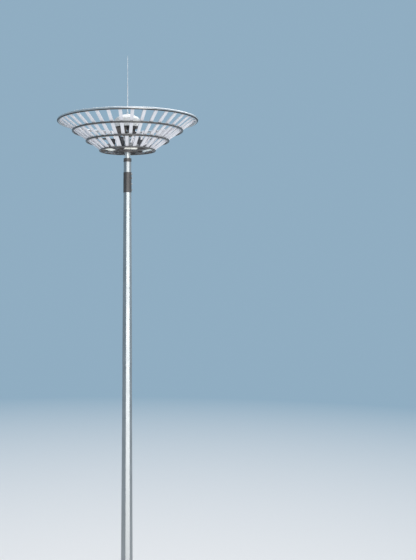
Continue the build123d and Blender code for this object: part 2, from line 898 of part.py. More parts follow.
# Docking posts, each with a collar that stops against its socket
collar_top_z = head_z - socket_length - seat_gap
with BuildPart() as dock_post:
    with BuildSketch(Plane.XZ):
        with Locations((dock_circle_radius, 0)):
            Polygon(
                (0, deck_z),
                (dock_foot_radius, deck_z),
                (dock_foot_radius, deck_z + dock_foot_thickness),
                (dock_post_radius, deck_z + dock_foot_thickness),
                (dock_post_radius, collar_top_z - dock_collar_height),
                (dock_collar_radius, collar_top_z - dock_collar_height),
                (dock_collar_radius, collar_top_z),
                (dock_post_radius, collar_top_z),
                (dock_post_radius, collar_top_z + dock_engagement - dock_tip_height),
                (dock_tip_radius, collar_top_z + dock_engagement),
                (0, collar_top_z + dock_engagement),
                align=None,
            )
    revolve(axis=Axis((dock_circle_radius, 0, 0), (0, 0, 1)))
with BuildPart() as docking_posts:
    with Locations(*turned(dock_turn, dock_count)):
        add(dock_post.part)

# Rope anchors: a lug on the inner ring, and a forked rope end pinned to it
lug_bottom_z = floor_z + inner_ring_tube / 2
lug_pin_z = lug_top_z - rope_end_radius - lug_hole_radius
fork_width = lug_thickness + 2 * (seat_gap + fork_cheek)
rope_end_top_z = lug_pin_z + fork_length + rope_end_length
with BuildPart() as rope_lug:
    with BuildSketch(Plane.XZ):
        Polygon(
            (inner_ring_radius, lug_bottom_z),
            (plate_inner_radius - seat_gap, lug_bottom_z),
            (plate_inner_radius - seat_gap, deck_z + seat_gap),
            (rope_circle_radius + lug_reach, deck_z + seat_gap),
            (rope_circle_radius + lug_reach, lug_pin_z),
            (rope_circle_radius + lug_reach / 2, lug_top_z),
            (rope_circle_radius - lug_reach / 2, lug_top_z),
            (inner_ring_radius, lug_pin_z),
            align=None,
        )
        with Locations((rope_circle_radius, lug_pin_z)):
            Circle(lug_hole_radius, mode=Mode.SUBTRACT)
    extrude(amount=lug_thickness / 2, both=True)
    add(ring_solid(inner_ring_radius, floor_z, inner_ring_tube + seat_gap), mode=Mode.SUBTRACT)

with BuildPart() as rope_fork:
    with Locations((rope_circle_radius, 0, lug_pin_z)):
        Box(
            2 * rope_end_radius,
            fork_width,
            fork_length + rope_end_radius,
            align=(Align.CENTER, Align.CENTER, Align.MIN),
        )
        with Locations((0, 0, -rope_end_radius)):
            Box(
                2 * rope_end_radius,
                fork_width,
                rope_end_radius,
                align=(Align.CENTER, Align.CENTER, Align.MIN),
            )
            Box(
                4 * rope_end_radius,
                fork_width - 2 * fork_cheek,
                fork_length,
                align=(Align.CENTER, Align.CENTER, Align.MIN),
                mode=Mode.SUBTRACT,
            )
        with Locations((0, 0, fork_length)):
            Cylinder(
                rope_end_radius,
                rope_end_length,
                align=(Align.CENTER, Align.CENTER, Align.MIN),
            )
    with BuildSketch(Plane.XZ):
        with Locations((rope_circle_radius, lug_pin_z)):
            Circle(lug_pin_radius)
    extrude(amount=fork_width / 2 + fork_cheek, both=True)

with BuildPart() as rope_anchors:
    with Locations(*turned(hoist_turn, hoist_count)):
        add(rope_lug.part)
        add(rope_fork.part)

with BuildPart() as hoist_ropes:
    with BuildSketch(Plane.XY.offset(rope_end_top_z)):
        with PolarLocations(rope_circle_radius, hoist_count, start_angle=hoist_turn - 90):
            Circle(rope_radius)
    extrude(amount=sheave_z - rope_end_top_z)

# Floodlights, tilted outwards about the tangent
tilt = radians(light_tilt)
light_face = Plane(
    origin=(light_circle_radius, 0, floor_z),
    x_dir=(cos(tilt), 0, sin(tilt)),
    z_dir=(-sin(tilt), 0, cos(tilt)),
)
recess_size = (light_depth - 2 * recess_margin, light_width - 2 * recess_margin)
lens_size = [side - 2 * seat_gap for side in recess_size]
with BuildPart() as light_housing:
    with BuildSketch(light_face):
        Rectangle(light_depth, light_width)
    extrude(amount=light_band)
    with BuildSketch(light_face.offset(light_band)):
        Rectangle(light_depth, light_width)
    with BuildSketch(light_face.offset(light_body_height)):
        Rectangle(light_back_depth, light_back_width)
    loft()
    with BuildSketch(light_face):
        Rectangle(*recess_size)
    extrude(amount=recess_depth, mode=Mode.SUBTRACT)
    with BuildSketch(light_face.offset(light_body_height)):
        with GridLocations(0, (light_back_width - fin_thickness) / (fin_count - 1), 1, fin_count):
            Rectangle(light_back_depth, fin_thickness)
    extrude(amount=fin_height)
with BuildPart() as floodlight_housings:
    with Locations(*turned(light_turn, light_count)):
        add(light_housing.part)

with BuildPart() as led_panel:
    with BuildSketch(light_face.offset(recess_depth - led_panel_thickness)):
        Rectangle(*lens_size)
    extrude(amount=led_panel_thickness)
with BuildPart() as led_panels:
    with Locations(*turned(light_turn, light_count)):
        add(led_panel.part)

with BuildPart() as light_lens:
    with BuildSketch(light_face):
        Rectangle(*lens_size)
    extrude(amount=lens_thickness)
with BuildPart() as floodlight_lenses:
    with Locations(*turned(light_turn, light_count)):
        add(light_lens.part)

with BuildPart() as light_bracket:
    for side in (-1, 1):
        outward = (Align.CENTER, Align.MIN if side > 0 else Align.MAX, Align.MIN)
        with Locations((light_circle_radius, side * (light_width / 2 + seat_gap), deck_z)):
            Box(bracket_width, bracket_thickness, bracket_height, align=outward)
        with Locations((light_circle_radius, side * light_cutout_width / 2, deck_z)):
            Box(bracket_width, bracket_foot, bracket_thickness, align=outward)
        with Locations((light_circle_radius, side * (light_width / 2 + seat_gap), deck_z)):
            Box(
                bracket_width,
                (light_cutout_width - light_width) / 2,
                bracket_thickness,
                align=outward,
            )
with BuildPart() as floodlight_brackets:
    with Locations(*turned(light_turn, light_count)):
        add(light_bracket.part)

# Driver cabinets on the floor between the floodlights
with BuildPart() as cabinet:
    with BuildSketch(Plane.XY.offset(deck_z)):
        with Locations((cabinet_radius, 0)):
            RectangleRounded(cabinet_depth, cabinet_width, cabinet_corner)
    extrude(amount=cabinet_height)
    with BuildSketch(Plane.XY.offset(deck_z + cabinet_height)):
        with Locations((cabinet_radius, 0)):
            RectangleRounded(
                cabinet_depth + 2 * cabinet_lid_lip,
                cabinet_width + 2 * cabinet_lid_lip,
                cabinet_corner,
            )
    extrude(amount=cabinet_lid_height)
with BuildPart() as driver_cabinets:
    with Locations(*turned(spoke_turn, spoke_count)):
        add(cabinet.part)

pieces = {
    "base_flange": base_flange,
    "base_gussets": base_gussets,
    "shaft_lower": shaft_lower,
    "shaft_middle": shaft_middle,
    "shaft_upper": shaft_upper,
    "door_frame": door_frame,
    "door_cover": door_cover,
    "door_hinges": door_hinges,
    "door_lock": door_lock,
    "earth_lug": earth_lug,
    "sleeve_front": sleeve_front,
    "sleeve_back": sleeve_back,
    "collar_band": collar_band,
    "neck_plate": neck_plate,
    "neck_tube": neck_tube,
    "head_frame": head_frame,
    "sheaves": sheaves,
    "rope_arcs": rope_arcs,
    "docking_sockets": docking_sockets,
    "cap_post": cap_post,
    "rain_cap": rain_cap,
    "rod_base": rod_base,
    "rod_lower": rod_lower,
    "rod_upper": rod_upper,
    "rim_hoop": rim_hoop,
    "hoop_upper": hoop_upper,
    "hoop_middle": hoop_middle,
    "floor_ring": floor_ring,
    "crown_ribs": crown_ribs,
    "slats_upper": slats_upper,
    "slats_middle": slats_middle,
    "slats_lower": slats_lower,
    "inner_ring": inner_ring,
    "floor_spokes": floor_spokes,
    "floor_plates": floor_plates,
    "guide_arms": guide_arms,
    "guide_rollers": guide_rollers,
    "docking_posts": docking_posts,
    "rope_anchors": rope_anchors,
    "hoist_ropes": hoist_ropes,
    "floodlight_housings": floodlight_housings,
    "led_panels": led_panels,
    "floodlight_lenses": floodlight_lenses,
    "floodlight_brackets": floodlight_brackets,
    "driver_cabinets": driver_cabinets,
}
os.makedirs("parts", exist_ok=True)
for name, piece in pieces.items():
    piece.part.label = name
    export_step(piece.part, f"parts/{name}.step")
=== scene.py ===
import json
from math import asin, atan, atan2, cos, hypot, pi, radians, sin, sqrt

import bpy
import numpy as np
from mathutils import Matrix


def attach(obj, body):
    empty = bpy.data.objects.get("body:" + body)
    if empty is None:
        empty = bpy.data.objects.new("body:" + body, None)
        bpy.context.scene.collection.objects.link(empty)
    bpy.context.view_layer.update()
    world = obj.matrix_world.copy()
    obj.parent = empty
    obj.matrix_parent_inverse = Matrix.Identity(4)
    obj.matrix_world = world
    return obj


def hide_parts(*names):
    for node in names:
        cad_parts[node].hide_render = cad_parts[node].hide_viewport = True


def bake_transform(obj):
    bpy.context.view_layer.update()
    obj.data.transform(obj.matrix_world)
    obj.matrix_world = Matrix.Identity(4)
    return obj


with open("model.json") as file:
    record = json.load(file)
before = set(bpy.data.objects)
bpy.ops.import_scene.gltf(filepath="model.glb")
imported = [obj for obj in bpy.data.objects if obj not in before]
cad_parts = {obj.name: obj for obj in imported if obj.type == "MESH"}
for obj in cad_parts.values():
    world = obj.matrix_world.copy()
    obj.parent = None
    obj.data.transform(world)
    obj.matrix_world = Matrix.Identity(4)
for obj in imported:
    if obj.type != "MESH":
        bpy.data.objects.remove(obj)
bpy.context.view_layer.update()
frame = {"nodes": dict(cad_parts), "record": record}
nodes = frame["nodes"]
print("loaded", len(nodes), "nodes")


# camera: below the crown, shifted so that the mast stands left of the middle of the picture
view = {"azimuth": -8.0, "distance": 35.0, "height": 23.774, "lens": 51.809, "tilt": -1.092, "roll": -0.1,
        "shift": 0.1441}
camera = bpy.data.objects.new("camera", bpy.data.cameras.new("camera"))
bpy.context.scene.collection.objects.link(camera)
camera.data.lens = view["lens"]
camera.data.sensor_width = 36
camera.data.shift_x = view["shift"]
camera.data.clip_end = 2000
swing = radians(view["azimuth"])
camera.location = (view["distance"] * sin(swing), -view["distance"] * cos(swing), view["height"])
camera.rotation_euler = (radians(90 + view["tilt"]), radians(view["roll"]), swing)
bpy.context.scene.camera = camera
print("camera set")


# A shape is a pair: its points, one row each, and a list of face arrays, each with one row per face.

def gridFaces(rows, cols, closeRows=False, flip=True):
    # quads (i, j), (i+1, j), (i+1, j+1), (i, j+1), wrapped round the columns, and round the rows where closed
    i, j = np.meshgrid(np.arange(rows if closeRows else rows - 1), np.arange(cols), indexing="ij")
    down, right = (i + 1) % rows, (j + 1) % cols
    quads = np.stack([i * cols + j, down * cols + j, down * cols + right, i * cols + right], -1)
    quads = quads.reshape(-1, 4)
    return quads[:, ::-1] if flip else quads


def openSkin(rings, poleLow=False, poleHigh=False):
    # closed rings joined in turn, with the first and the last shrunk to a point or filled by one face
    rows, cols = np.shape(rings)[:2]
    quads, around = gridFaces(rows, cols), np.arange(cols)
    after, last = (around + 1) % cols, (rows - 1) * cols
    low, high = around[None, ::-1], (last + around)[None]
    if poleLow:
        quads = quads[cols:]
        low = np.stack([0 * around, cols + after, cols + around], -1)
    if poleHigh:
        quads = quads[:-cols]
        high = np.stack([last + 0 * around, last - cols + around, last - cols + after], -1)
    return np.reshape(rings, (-1, 3)), [quads, low, high]


def closedSkin(rings, flip=True):
    # closed rings joined in turn, and the last of them to the first
    rows, cols = np.shape(rings)[:2]
    return np.reshape(rings, (-1, 3)), [gridFaces(rows, cols, True, flip)]


def joinShapes(shapes):
    # points stacked in turn, and each shape's faces moved on by the points before it
    starts = np.cumsum([0] + [len(points) for points, _ in shapes])
    faces = [array + start for (_, arrays), start in zip(shapes, starts) for array in arrays]
    return np.vstack([points for points, _ in shapes]), faces


def turnedOver(shape, scale=(1, 1, 1)):
    # points multiplied by the scale, and faces run the other way round
    return shape[0] * scale, [array[:, ::-1] for array in shape[1]]


def evenTurns(start, count):
    # turns in degrees from start on, a full circle shared out evenly
    return start + np.arange(count) * 360 / count


def turnBy(degrees):
    # rotation about the mast for a thing drawn towards +X: a turn runs from the front (-Y) to the right (+X)
    a = np.radians(np.atleast_1d(degrees) - 90.0)
    flat = np.zeros_like(a)
    rows = [np.cos(a), -np.sin(a), flat, np.sin(a), np.cos(a), flat, flat, flat, flat + 1]
    return np.stack(rows, -1).reshape(-1, 3, 3)


def copyShape(shape, spins, shifts=(0, 0, 0)):
    # every copy is spin @ point + shift
    points, arrays = shape
    spins, shifts = np.reshape(np.asarray(spins, float), (-1, 3, 3)), np.reshape(shifts, (-1, 3))
    if len(spins) == 1:
        spins = np.repeat(spins, len(shifts), 0)
    copies = np.einsum("kij,nj->kni", spins, points) + shifts[:, None, :]
    steps = (np.arange(len(spins)) * len(points))[:, None, None]
    return copies.reshape(-1, 3), [(array[None] + steps).reshape(-1, array.shape[1]) for array in arrays]


def moved(shape, places):
    # one unturned copy of the shape at each place
    return copyShape(shape, np.eye(3), places)


def aroundMast(shape, turns):
    # one copy of the shape at each turn
    return copyShape(shape, turnBy(turns))


def aimed(axis):
    # rotation whose third column is the axis, and whose first lies near +Z, or near +X for an upright axis
    w = np.asarray(axis, float) / np.linalg.norm(axis)
    side = np.array([1.0, 0.0, 0.0] if abs(w[2]) > 0.95 else [0.0, 0.0, 1.0])
    u = side - (side @ w) * w
    u /= np.linalg.norm(u)
    return np.stack([u, np.cross(w, u), w], -1)


def turned(profile, steps, phase=0.0):
    # rings of (radius, height) pairs: radius times cosine and sine of even steps round Z
    r, z = np.asarray(profile, float).T[..., None]
    a = np.arange(steps) * 2 * pi / steps + phase
    return np.stack([r * np.cos(a), r * np.sin(a), z + 0 * a], -1)


def lathe(profile, steps, phase=0.0):
    # pairs turned about Z; a radius of 0 at an end closes in one point
    return openSkin(turned(profile, steps, phase), profile[0][0] < 1e-9, profile[-1][0] < 1e-9)


def latheRing(profile, steps):
    # closed outline of pairs turned about Z, with no point on the axis
    return closedSkin(turned(profile, steps))


def ringTube(radius, height, tube, steps, half=None):
    # circle of radius tube carried round a circle, or from -half to half degrees with its ends drawn in
    a = np.arange(24) * 2 * pi / 24
    t = np.arange(steps) * 2 * pi / steps if half is None else np.radians(np.linspace(-half, half, steps))
    t, size = t[:, None], np.full((steps, 1), tube)
    if half is not None:
        size[[0, -1]] *= 0.96
    r = radius + size * np.cos(a)
    rings = np.stack([r * np.cos(t), r * np.sin(t), height + size * np.sin(a) + 0 * t], -1)
    return closedSkin(rings) if half is None else openSkin(rings)


def smoothPath(stops, steps):
    # Catmull-Rom: cubics whose slope at each stop is half the way from the stop before to the one after
    stops = np.asarray(stops, float)
    ends = np.vstack([2 * stops[0] - stops[1], stops, 2 * stops[-1] - stops[-2]])
    t = np.linspace(0, 1, steps)[None, :-1, None]
    a, b, c, d = (ends[k:len(ends) - 3 + k, None] for k in range(4))
    curve = b + (c - a) * t / 2 + (2 * a - 5 * b + 4 * c - d) * t ** 2 / 2
    curve = curve + (3 * b - a - 3 * c + d) * t ** 3 / 2
    return np.vstack([curve.reshape(-1, 3), stops[-1:]])


def runLength(path):
    # length of the path up to each of its points
    return np.concatenate([[0], np.cumsum(np.linalg.norm(np.diff(path, axis=0), axis=1))])


def tubeAlong(path, radius, sides):
    # circle carried along a polyline, square to its run, with a frame kept from twisting
    path = np.asarray(path, float)
    run = np.gradient(path, axis=0)
    run /= np.linalg.norm(run, axis=1, keepdims=True)
    start = np.array([0.0, 0.0, 1.0]) if abs(run[0, 2]) < 0.9 else np.array([0.0, 1.0, 0.0])
    plane = np.cross(run[0], start)
    first = np.cross(run, np.broadcast_to(np.cross(plane, run[0]), run.shape))
    first /= np.linalg.norm(first, axis=1, keepdims=True)
    second = np.cross(run, first)
    a = (np.arange(sides) * 2 * pi / sides)[:, None]
    radius = np.broadcast_to(np.asarray(radius, float), (len(path),))[:, None, None]
    return openSkin(path[:, None] + radius * (np.cos(a) * first[:, None] + np.sin(a) * second[:, None]))


def eased(low, high, ease=0.001):
    # both ends, and a station a little inside each
    return np.array([low, low + ease, high - ease, high])


def plank(outline, stations, across, along, up, origin=(0, 0, 0)):
    # closed outline (side, rise) carried straight along: origin + s along + side across + rise up
    outline = np.asarray(outline, float)
    across, along, up, origin = (np.asarray(v, float) for v in (across, along, up, origin))
    start = origin + np.asarray(stations, float)[:, None, None] * along
    return openSkin(start + outline[None, :, :1] * across + outline[None, :, 1:] * up)


def columns(*values):
    # one column for each value, and a single number repeated down its column
    return np.stack(np.broadcast_arrays(*values), -1)


def level(outline, z):
    # flat outline set at one height
    return columns(*np.transpose(outline), z)


def roundedRings(rows, steps):
    # one rectangle with quarter circles for corners per row of width, depth, corner radius and height
    a = np.arange(4)[:, None] * pi / 2 + np.linspace(0, pi / 2, steps)
    rings = []
    for width, depth, corner, z in rows:
        centres = np.array([[1, 1], [-1, 1], [-1, -1], [1, -1]]) * [width / 2 - corner, depth / 2 - corner]
        ring = np.stack([np.cos(a), np.sin(a)], -1) * corner + centres[:, None]
        rings.append(level(ring.reshape(-1, 2), z))
    return np.array(rings)


def softBlock(width, depth, height, corner, edge, steps):
    # rounded rectangle raised from 0 to height, drawn in by edge at its two ends
    ends = ((edge, 0), (0, edge), (0, height - edge), (edge, height))
    return openSkin(roundedRings([
        (width - 2 * inset, depth - 2 * inset, max(corner - inset, 1e-4), z) for inset, z in ends
    ], steps))


def pressedPanel(width, height, corner, profile):
    # rounded rectangles, each drawn in and raised as the profile says, closed by one flat face
    return openSkin(roundedRings([
        (width - 2 * inset, height - 2 * inset, max(corner - inset, 0.003), rise) for inset, rise in profile
    ], 8))


# Finishes. Each is built from a dict of what a painter or galvaniser would name.

def addNode(tree, kind, inputs=None, **settings):
    # a new node with its settings; an input is linked if it is given an output, and else takes the value
    node = tree.nodes.new("ShaderNode" + kind)
    for key, value in settings.items():
        setattr(node, key, value)
    for key, value in (inputs or {}).items():
        if hasattr(value, "is_output"):
            tree.links.new(value, node.inputs[key])
        else:
            node.inputs[key].default_value = value
    return node


def blendOf(tree, factor, low, high):
    # colours low and high mixed by a factor
    low, high = (value if hasattr(value, "is_output") else (*value, 1) for value in (low, high))
    return addNode(tree, "Mix", {0: factor, 6: low, 7: high}, data_type="RGBA").outputs[2]


def spread(tree, source, low, high, fromLow=0.0, fromHigh=1.0):
    # stretches a value from one range to another
    ranges = {"From Min": fromLow, "From Max": fromHigh, "To Min": low, "To Max": high}
    return addNode(tree, "MapRange", {"Value": source, **ranges}).outputs["Result"]


def noiseOf(tree, place, scale, detail, roughness):
    # cloudy noise at this scale
    values = {"Vector": place, "Scale": scale, "Detail": detail, "Roughness": roughness}
    return addNode(tree, "TexNoise", values).outputs["Fac"]


def stretched(tree, place, scale):
    # coordinates multiplied by the scale
    return addNode(tree, "Mapping", {"Vector": place, "Scale": scale}).outputs["Vector"]


def shadedSide(tree, place, under):
    # mask of painted shade: 1 where the normal looks down, and away from the mast: its height part times its
    # share along the radius
    normal = addNode(tree, "TexCoord").outputs["Normal"]
    height = addNode(tree, "SeparateXYZ", {0: normal}).outputs[2]
    flat = addNode(tree, "VectorMath", {0: place, 1: (1, 1, 0)}, operation="MULTIPLY").outputs[0]
    radial = addNode(tree, "VectorMath", {0: flat}, operation="NORMALIZE").outputs[0]
    away = addNode(tree, "VectorMath", {0: radial, 1: normal}, operation="DOT_PRODUCT").outputs["Value"]
    down = spread(tree, height, 0, 1, under["from"], under["to"])
    outer = spread(tree, away, 0, 1, -0.15, 0.1)
    return addNode(tree, "Math", {0: down, 1: outer}, operation="MULTIPLY").outputs[0]


def newFinish(name):
    # an empty finish with its node tree and shader
    finish = bpy.data.materials.new(name)
    finish.use_nodes = True
    return finish, finish.node_tree, finish.node_tree.nodes["Principled BSDF"]


def makeFinish(name, look):
    # tones mottled by noise, rain streaks down Z, grain or spangle, painted shade where a look asks for it,
    # and a bump from the finest of them
    finish, tree, shader = newFinish(name)
    place = addNode(tree, "TexCoord").outputs["Object"]
    shader.inputs["Metallic"].default_value = look.get("metallic", 0.0)
    for socket in ("Coat Weight", "Coat Roughness", "IOR", "Transmission Weight"):
        if socket in look:
            shader.inputs[socket].default_value = look[socket]
    if "lit" in look:
        shader.inputs["Emission Color"].default_value = (*look["lit"]["tone"], 1)
        shader.inputs["Emission Strength"].default_value = look["lit"]["strength"]
    mottle = noiseOf(tree, place, look["mottle"], 5, 0.55)
    colour = blendOf(tree, spread(tree, mottle, 0, 1, 0.35, 0.65), *look["tones"])
    if "streaks" in look:
        scale, amount, tone = look["streaks"]
        rain = noiseOf(tree, stretched(tree, place, (1, 1, 0.03)), scale, 4, 0.6)
        colour = blendOf(tree, spread(tree, rain, 0, amount, 0.52, 0.72), colour, tone)
    if "spangle" in look:
        scale, amount, tone = look["spangle"]
        crystals = addNode(tree, "TexVoronoi", {"Vector": place, "Scale": scale}).outputs["Color"]
        facet = addNode(tree, "SeparateColor", {0: crystals}).outputs[0]
        colour = blendOf(tree, spread(tree, facet, 0, amount), colour, tone)
    # painted shade: a dark tone laid on the lower outer side, where shade falls
    if "under" in look:
        colour = blendOf(tree, shadedSide(tree, place, look["under"]), colour, look["under"]["tone"])
    combed = stretched(tree, place, look["brushed"]) if "brushed" in look else place
    height = noiseOf(tree, combed, look["grain"], 3, 0.6)
    if "chequer" in look:
        white, black = (1, 1, 1, 1), (0, 0, 0, 1)
        lozenges = addNode(tree, "TexBrick", {
            "Vector": place, "Scale": look["chequer"], "Color1": white, "Color2": white, "Mortar": black,
            "Mortar Size": 0.2, "Mortar Smooth": 0.3, "Brick Width": 1.0, "Row Height": 0.5,
        }).outputs["Color"]
        height = addNode(tree, "Math", {0: lozenges, 1: height}, operation="ADD").outputs[0]
    tree.links.new(colour, shader.inputs["Base Color"])
    tree.links.new(spread(tree, mottle, *look["rough"], 0.3, 0.7), shader.inputs["Roughness"])
    relief = {"Strength": look["bump"], "Distance": look.get("relief", 0.001), "Height": height}
    tree.links.new(addNode(tree, "Bump", relief).outputs["Normal"], shader.inputs["Normal"])
    return finish


# the first look with a slot is also the finish of that slot's CAD nodes; streaks and spangle are their scale,
# amount and tone
looks = {
    "mastPaint": {
        "slot": "mast_paint", "tones": [(0.35, 0.365, 0.37), (0.395, 0.41, 0.415)], "metallic": 0.85,
        "rough": (0.40, 0.48), "mottle": 1.6, "grain": 260, "bump": 0.12,
        "streaks": (24, 0.35, (0.33, 0.34, 0.33)),
    },
    # a lighter copy of mast_paint for the neck: painted light, so the round neck looks as bright as the
    # mast's lit flats
    "neckPaintedLight": {
        "slot": "mast_paint", "tones": [(0.70, 0.71, 0.70), (0.78, 0.79, 0.78)], "metallic": 0.7,
        "rough": (0.39, 0.47), "mottle": 3, "grain": 260, "bump": 0.12,
        "streaks": (40, 0.3, (0.45, 0.46, 0.45)),
    },
    "darkPaint": {
        "slot": "dark_paint", "tones": [(0.07, 0.065, 0.062), (0.11, 0.10, 0.097)], "metallic": 0.3,
        "rough": (0.4, 0.55), "mottle": 6, "grain": 300, "bump": 0.15,
        "streaks": (40, 0.4, (0.22, 0.2, 0.19)),
    },
    "hoopMetal": {
        "slot": "hoop_metal", "tones": [(0.105, 0.10, 0.095), (0.15, 0.14, 0.135)], "metallic": 0.6,
        "rough": (0.3, 0.42), "mottle": 5, "grain": 320, "bump": 0.1,
        "streaks": (60, 0.3, (0.24, 0.22, 0.21)),
    },
    # a lighter copy of hoop_metal for the rim alone: painted light, so the rim shows bright where the other
    # hoops stay dark
    "rimLitMetal": {
        "slot": "hoop_metal", "tones": [(0.56, 0.55, 0.545), (0.64, 0.63, 0.62)], "metallic": 0.9,
        "rough": (0.36, 0.44), "mottle": 5, "grain": 320, "bump": 0.1,
        "streaks": (60, 0.3, (0.32, 0.30, 0.29)),
        # painted shade on the rim's lower outer side
        "under": {"tone": (0.06, 0.056, 0.053), "from": -0.3, "to": -0.48},
    },
    "slatWhite": {
        "slot": "slat_white", "tones": [(0.76, 0.75, 0.79), (0.83, 0.82, 0.85)], "rough": (0.36, 0.5),
        "mottle": 4, "grain": 500, "bump": 0.08, "Coat Weight": 0.15, "Coat Roughness": 0.25,
        "streaks": (50, 0.3, (0.56, 0.54, 0.55)),
    },
    "capWhite": {
        "slot": "cap_white", "tones": [(0.80, 0.80, 0.79), (0.86, 0.86, 0.85)], "rough": (0.22, 0.34),
        "mottle": 3, "grain": 120, "bump": 0.06, "Coat Weight": 0.4, "Coat Roughness": 0.12,
        "streaks": (36, 0.3, (0.6, 0.59, 0.57)),
    },
    "galvanised": {
        "slot": "galvanised", "tones": [(0.42, 0.44, 0.45), (0.52, 0.54, 0.55)], "metallic": 0.85,
        "rough": (0.38, 0.55), "mottle": 9, "grain": 400, "bump": 0.1,
        "spangle": (70, 0.5, (0.62, 0.64, 0.66)),
    },
    "rodSteel": {
        "slot": "rod_steel", "tones": [(0.80, 0.81, 0.82), (0.88, 0.885, 0.89)], "metallic": 0.4,
        "rough": (0.28, 0.38), "mottle": 8, "grain": 240, "brushed": (1, 1, 0.05), "bump": 0.12,
    },
    "floorPaint": {
        "slot": "floor_metal", "tones": [(0.11, 0.10, 0.096), (0.17, 0.155, 0.148)], "metallic": 0.25,
        "rough": (0.42, 0.6), "mottle": 7, "grain": 260, "bump": 0.2,
        "streaks": (30, 0.25, (0.2, 0.17, 0.15)),
    },
    "floorPlate": {
        "slot": "floor_metal", "tones": [(0.085, 0.072, 0.064), (0.13, 0.11, 0.10)], "metallic": 0.25,
        "rough": (0.4, 0.58), "mottle": 7, "grain": 160, "bump": 0.6, "relief": 0.002, "chequer": 28,
    },
    "castHousing": {
        "slot": "housing_metal", "tones": [(0.20, 0.20, 0.21), (0.26, 0.26, 0.27)], "metallic": 0.3,
        "rough": (0.45, 0.6), "mottle": 9, "grain": 600, "bump": 0.3,
    },
    "ledBoard": {
        "slot": "led_board", "tones": [(0.86, 0.85, 0.82), (0.91, 0.90, 0.88)], "rough": (0.4, 0.5),
        "mottle": 30, "grain": 200, "bump": 0.05, "lit": {"tone": (1.0, 0.96, 0.9), "strength": 0.42},
    },
    "ledDome": {
        "slot": "led_board", "tones": [(0.93, 0.90, 0.70), (0.96, 0.94, 0.82)], "rough": (0.12, 0.2),
        "mottle": 40, "grain": 300, "bump": 0.02, "Coat Weight": 0.6, "Coat Roughness": 0.05,
        "lit": {"tone": (1.0, 0.93, 0.72), "strength": 0.5},
    },
    "lensGlass": {
        "slot": "lens_glass", "tones": [(0.93, 0.96, 0.97), (0.97, 0.98, 0.99)], "rough": (0.02, 0.06),
        "mottle": 3, "grain": 6, "bump": 0.02, "Transmission Weight": 1.0, "IOR": 1.18,
    },
    "cabinetPaint": {
        "slot": "cabinet_paint", "tones": [(0.07, 0.07, 0.074), (0.10, 0.10, 0.104)], "metallic": 0.2,
        "rough": (0.4, 0.55), "mottle": 8, "grain": 700, "bump": 0.2,
        "streaks": (50, 0.3, (0.26, 0.25, 0.24)),
    },
    "rubber": {
        "slot": "rubber_black", "tones": [(0.025, 0.025, 0.025), (0.05, 0.05, 0.05)], "rough": (0.7, 0.85),
        "mottle": 30, "grain": 500, "bump": 0.3,
    },
    "conduit": {
        "slot": "rubber_black", "tones": [(0.035, 0.035, 0.037), (0.06, 0.06, 0.062)], "rough": (0.42, 0.55),
        "mottle": 20, "grain": 400, "bump": 0.15,
    },
    "ropeWire": {
        "slot": "wire_rope", "tones": [(0.30, 0.31, 0.32), (0.45, 0.46, 0.47)], "metallic": 0.9,
        "rough": (0.32, 0.48), "mottle": 60, "grain": 800, "bump": 0.1,
    },
    "weldBead": {
        "slot": "mast_paint", "tones": [(0.50, 0.51, 0.51), (0.62, 0.63, 0.63)], "metallic": 0.4,
        "rough": (0.4, 0.6), "mottle": 40, "grain": 220, "bump": 0.6, "relief": 0.002,
    },
}
finishes = {name: makeFinish(name, look) for name, look in looks.items()}
slotFinish = {look["slot"]: name for name, look in reversed(looks.items())}
nodeFinish = {part["node"]: slotFinish[part["material_slot"]] for part in frame["record"]["subparts"]}
nodeFinish["floor_plates"] = "floorPlate"
# the neck takes the lighter copy of mast_paint, which is painted light
nodeFinish["neck_tube"] = "neckPaintedLight"
for nodeName, cadPiece in nodes.items():
    cadPiece.data.materials.clear()
    cadPiece.data.materials.append(finishes[nodeFinish[nodeName]])
print("finishes on", len(nodes), "CAD pieces")


def addMesh(name, shape, finish, sharp):
    # puts the arrays into a mesh, smooth except where faces meet at more than sharp degrees
    points, arrays = shape
    mesh = bpy.data.meshes.new(name)
    corners = np.concatenate([array.ravel() for array in arrays])
    counts = np.concatenate([np.full(len(array), array.shape[1]) for array in arrays])
    mesh.vertices.add(len(points))
    mesh.vertices.foreach_set("co", points.astype(np.float32).ravel())
    mesh.loops.add(len(corners))
    mesh.loops.foreach_set("vertex_index", corners.astype(np.int32))
    mesh.polygons.add(len(counts))
    mesh.polygons.foreach_set("loop_start", np.concatenate([[0], np.cumsum(counts)[:-1]]).astype(np.int32))
    mesh.update(calc_edges=True)
    mesh.validate()
    mesh.shade_smooth()
    mesh.set_sharp_from_angle(angle=radians(sharp))
    mesh.materials.append(finish)
    thing = bpy.data.objects.new(name, mesh)
    bpy.context.scene.collection.objects.link(thing)
    return thing


def makePiece(name, shape, finish, body, replaced=None, sharp=40, turns=None):
    # joins a list of shapes, copies the shape to each turn, and says what the piece rides on and replaces
    shape = joinShapes(shape) if isinstance(shape, list) else shape
    shape = shape if turns is None else aroundMast(shape, turns)
    piece = addMesh(name, shape, finishes[finish], sharp)
    if body:
        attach(piece, body)
    if replaced:
        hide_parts(replaced)
    return piece


# Small fasteners that several pieces share

def hexHead(flats, height):
    # six-sided lathe with a domed top edge; its corners lie flats / sqrt 3 from the axis
    r = flats / sqrt(3)
    return lathe([(0, 0), (r, 0), (r, height * 0.82), (r * 0.86, height), (0, height)], 6, pi / 6)


def washer(radius, height):
    # flat disc whose upper edge is eased by a twentieth of its radius
    return lathe([(0, 0), (radius, 0), (radius, height * 0.7), (radius * 0.95, height), (0, height)], 20)


def boltAt(size, place=(0, 0, 0), axis=(0, 0, 1)):
    # hexagon head on its washer; the size is the head's flats and height, then the washer's radius and height
    flats, height, radius, thick = size
    bolt = joinShapes([washer(radius, thick), moved(hexHead(flats, height), [0, 0, thick])])
    return copyShape(bolt, aimed(axis), place)


smallBolt = (0.013, 0.006, 0.009, 0.0016)
footBolt = (0.013, 0.006, 0.0085, 0.0016)


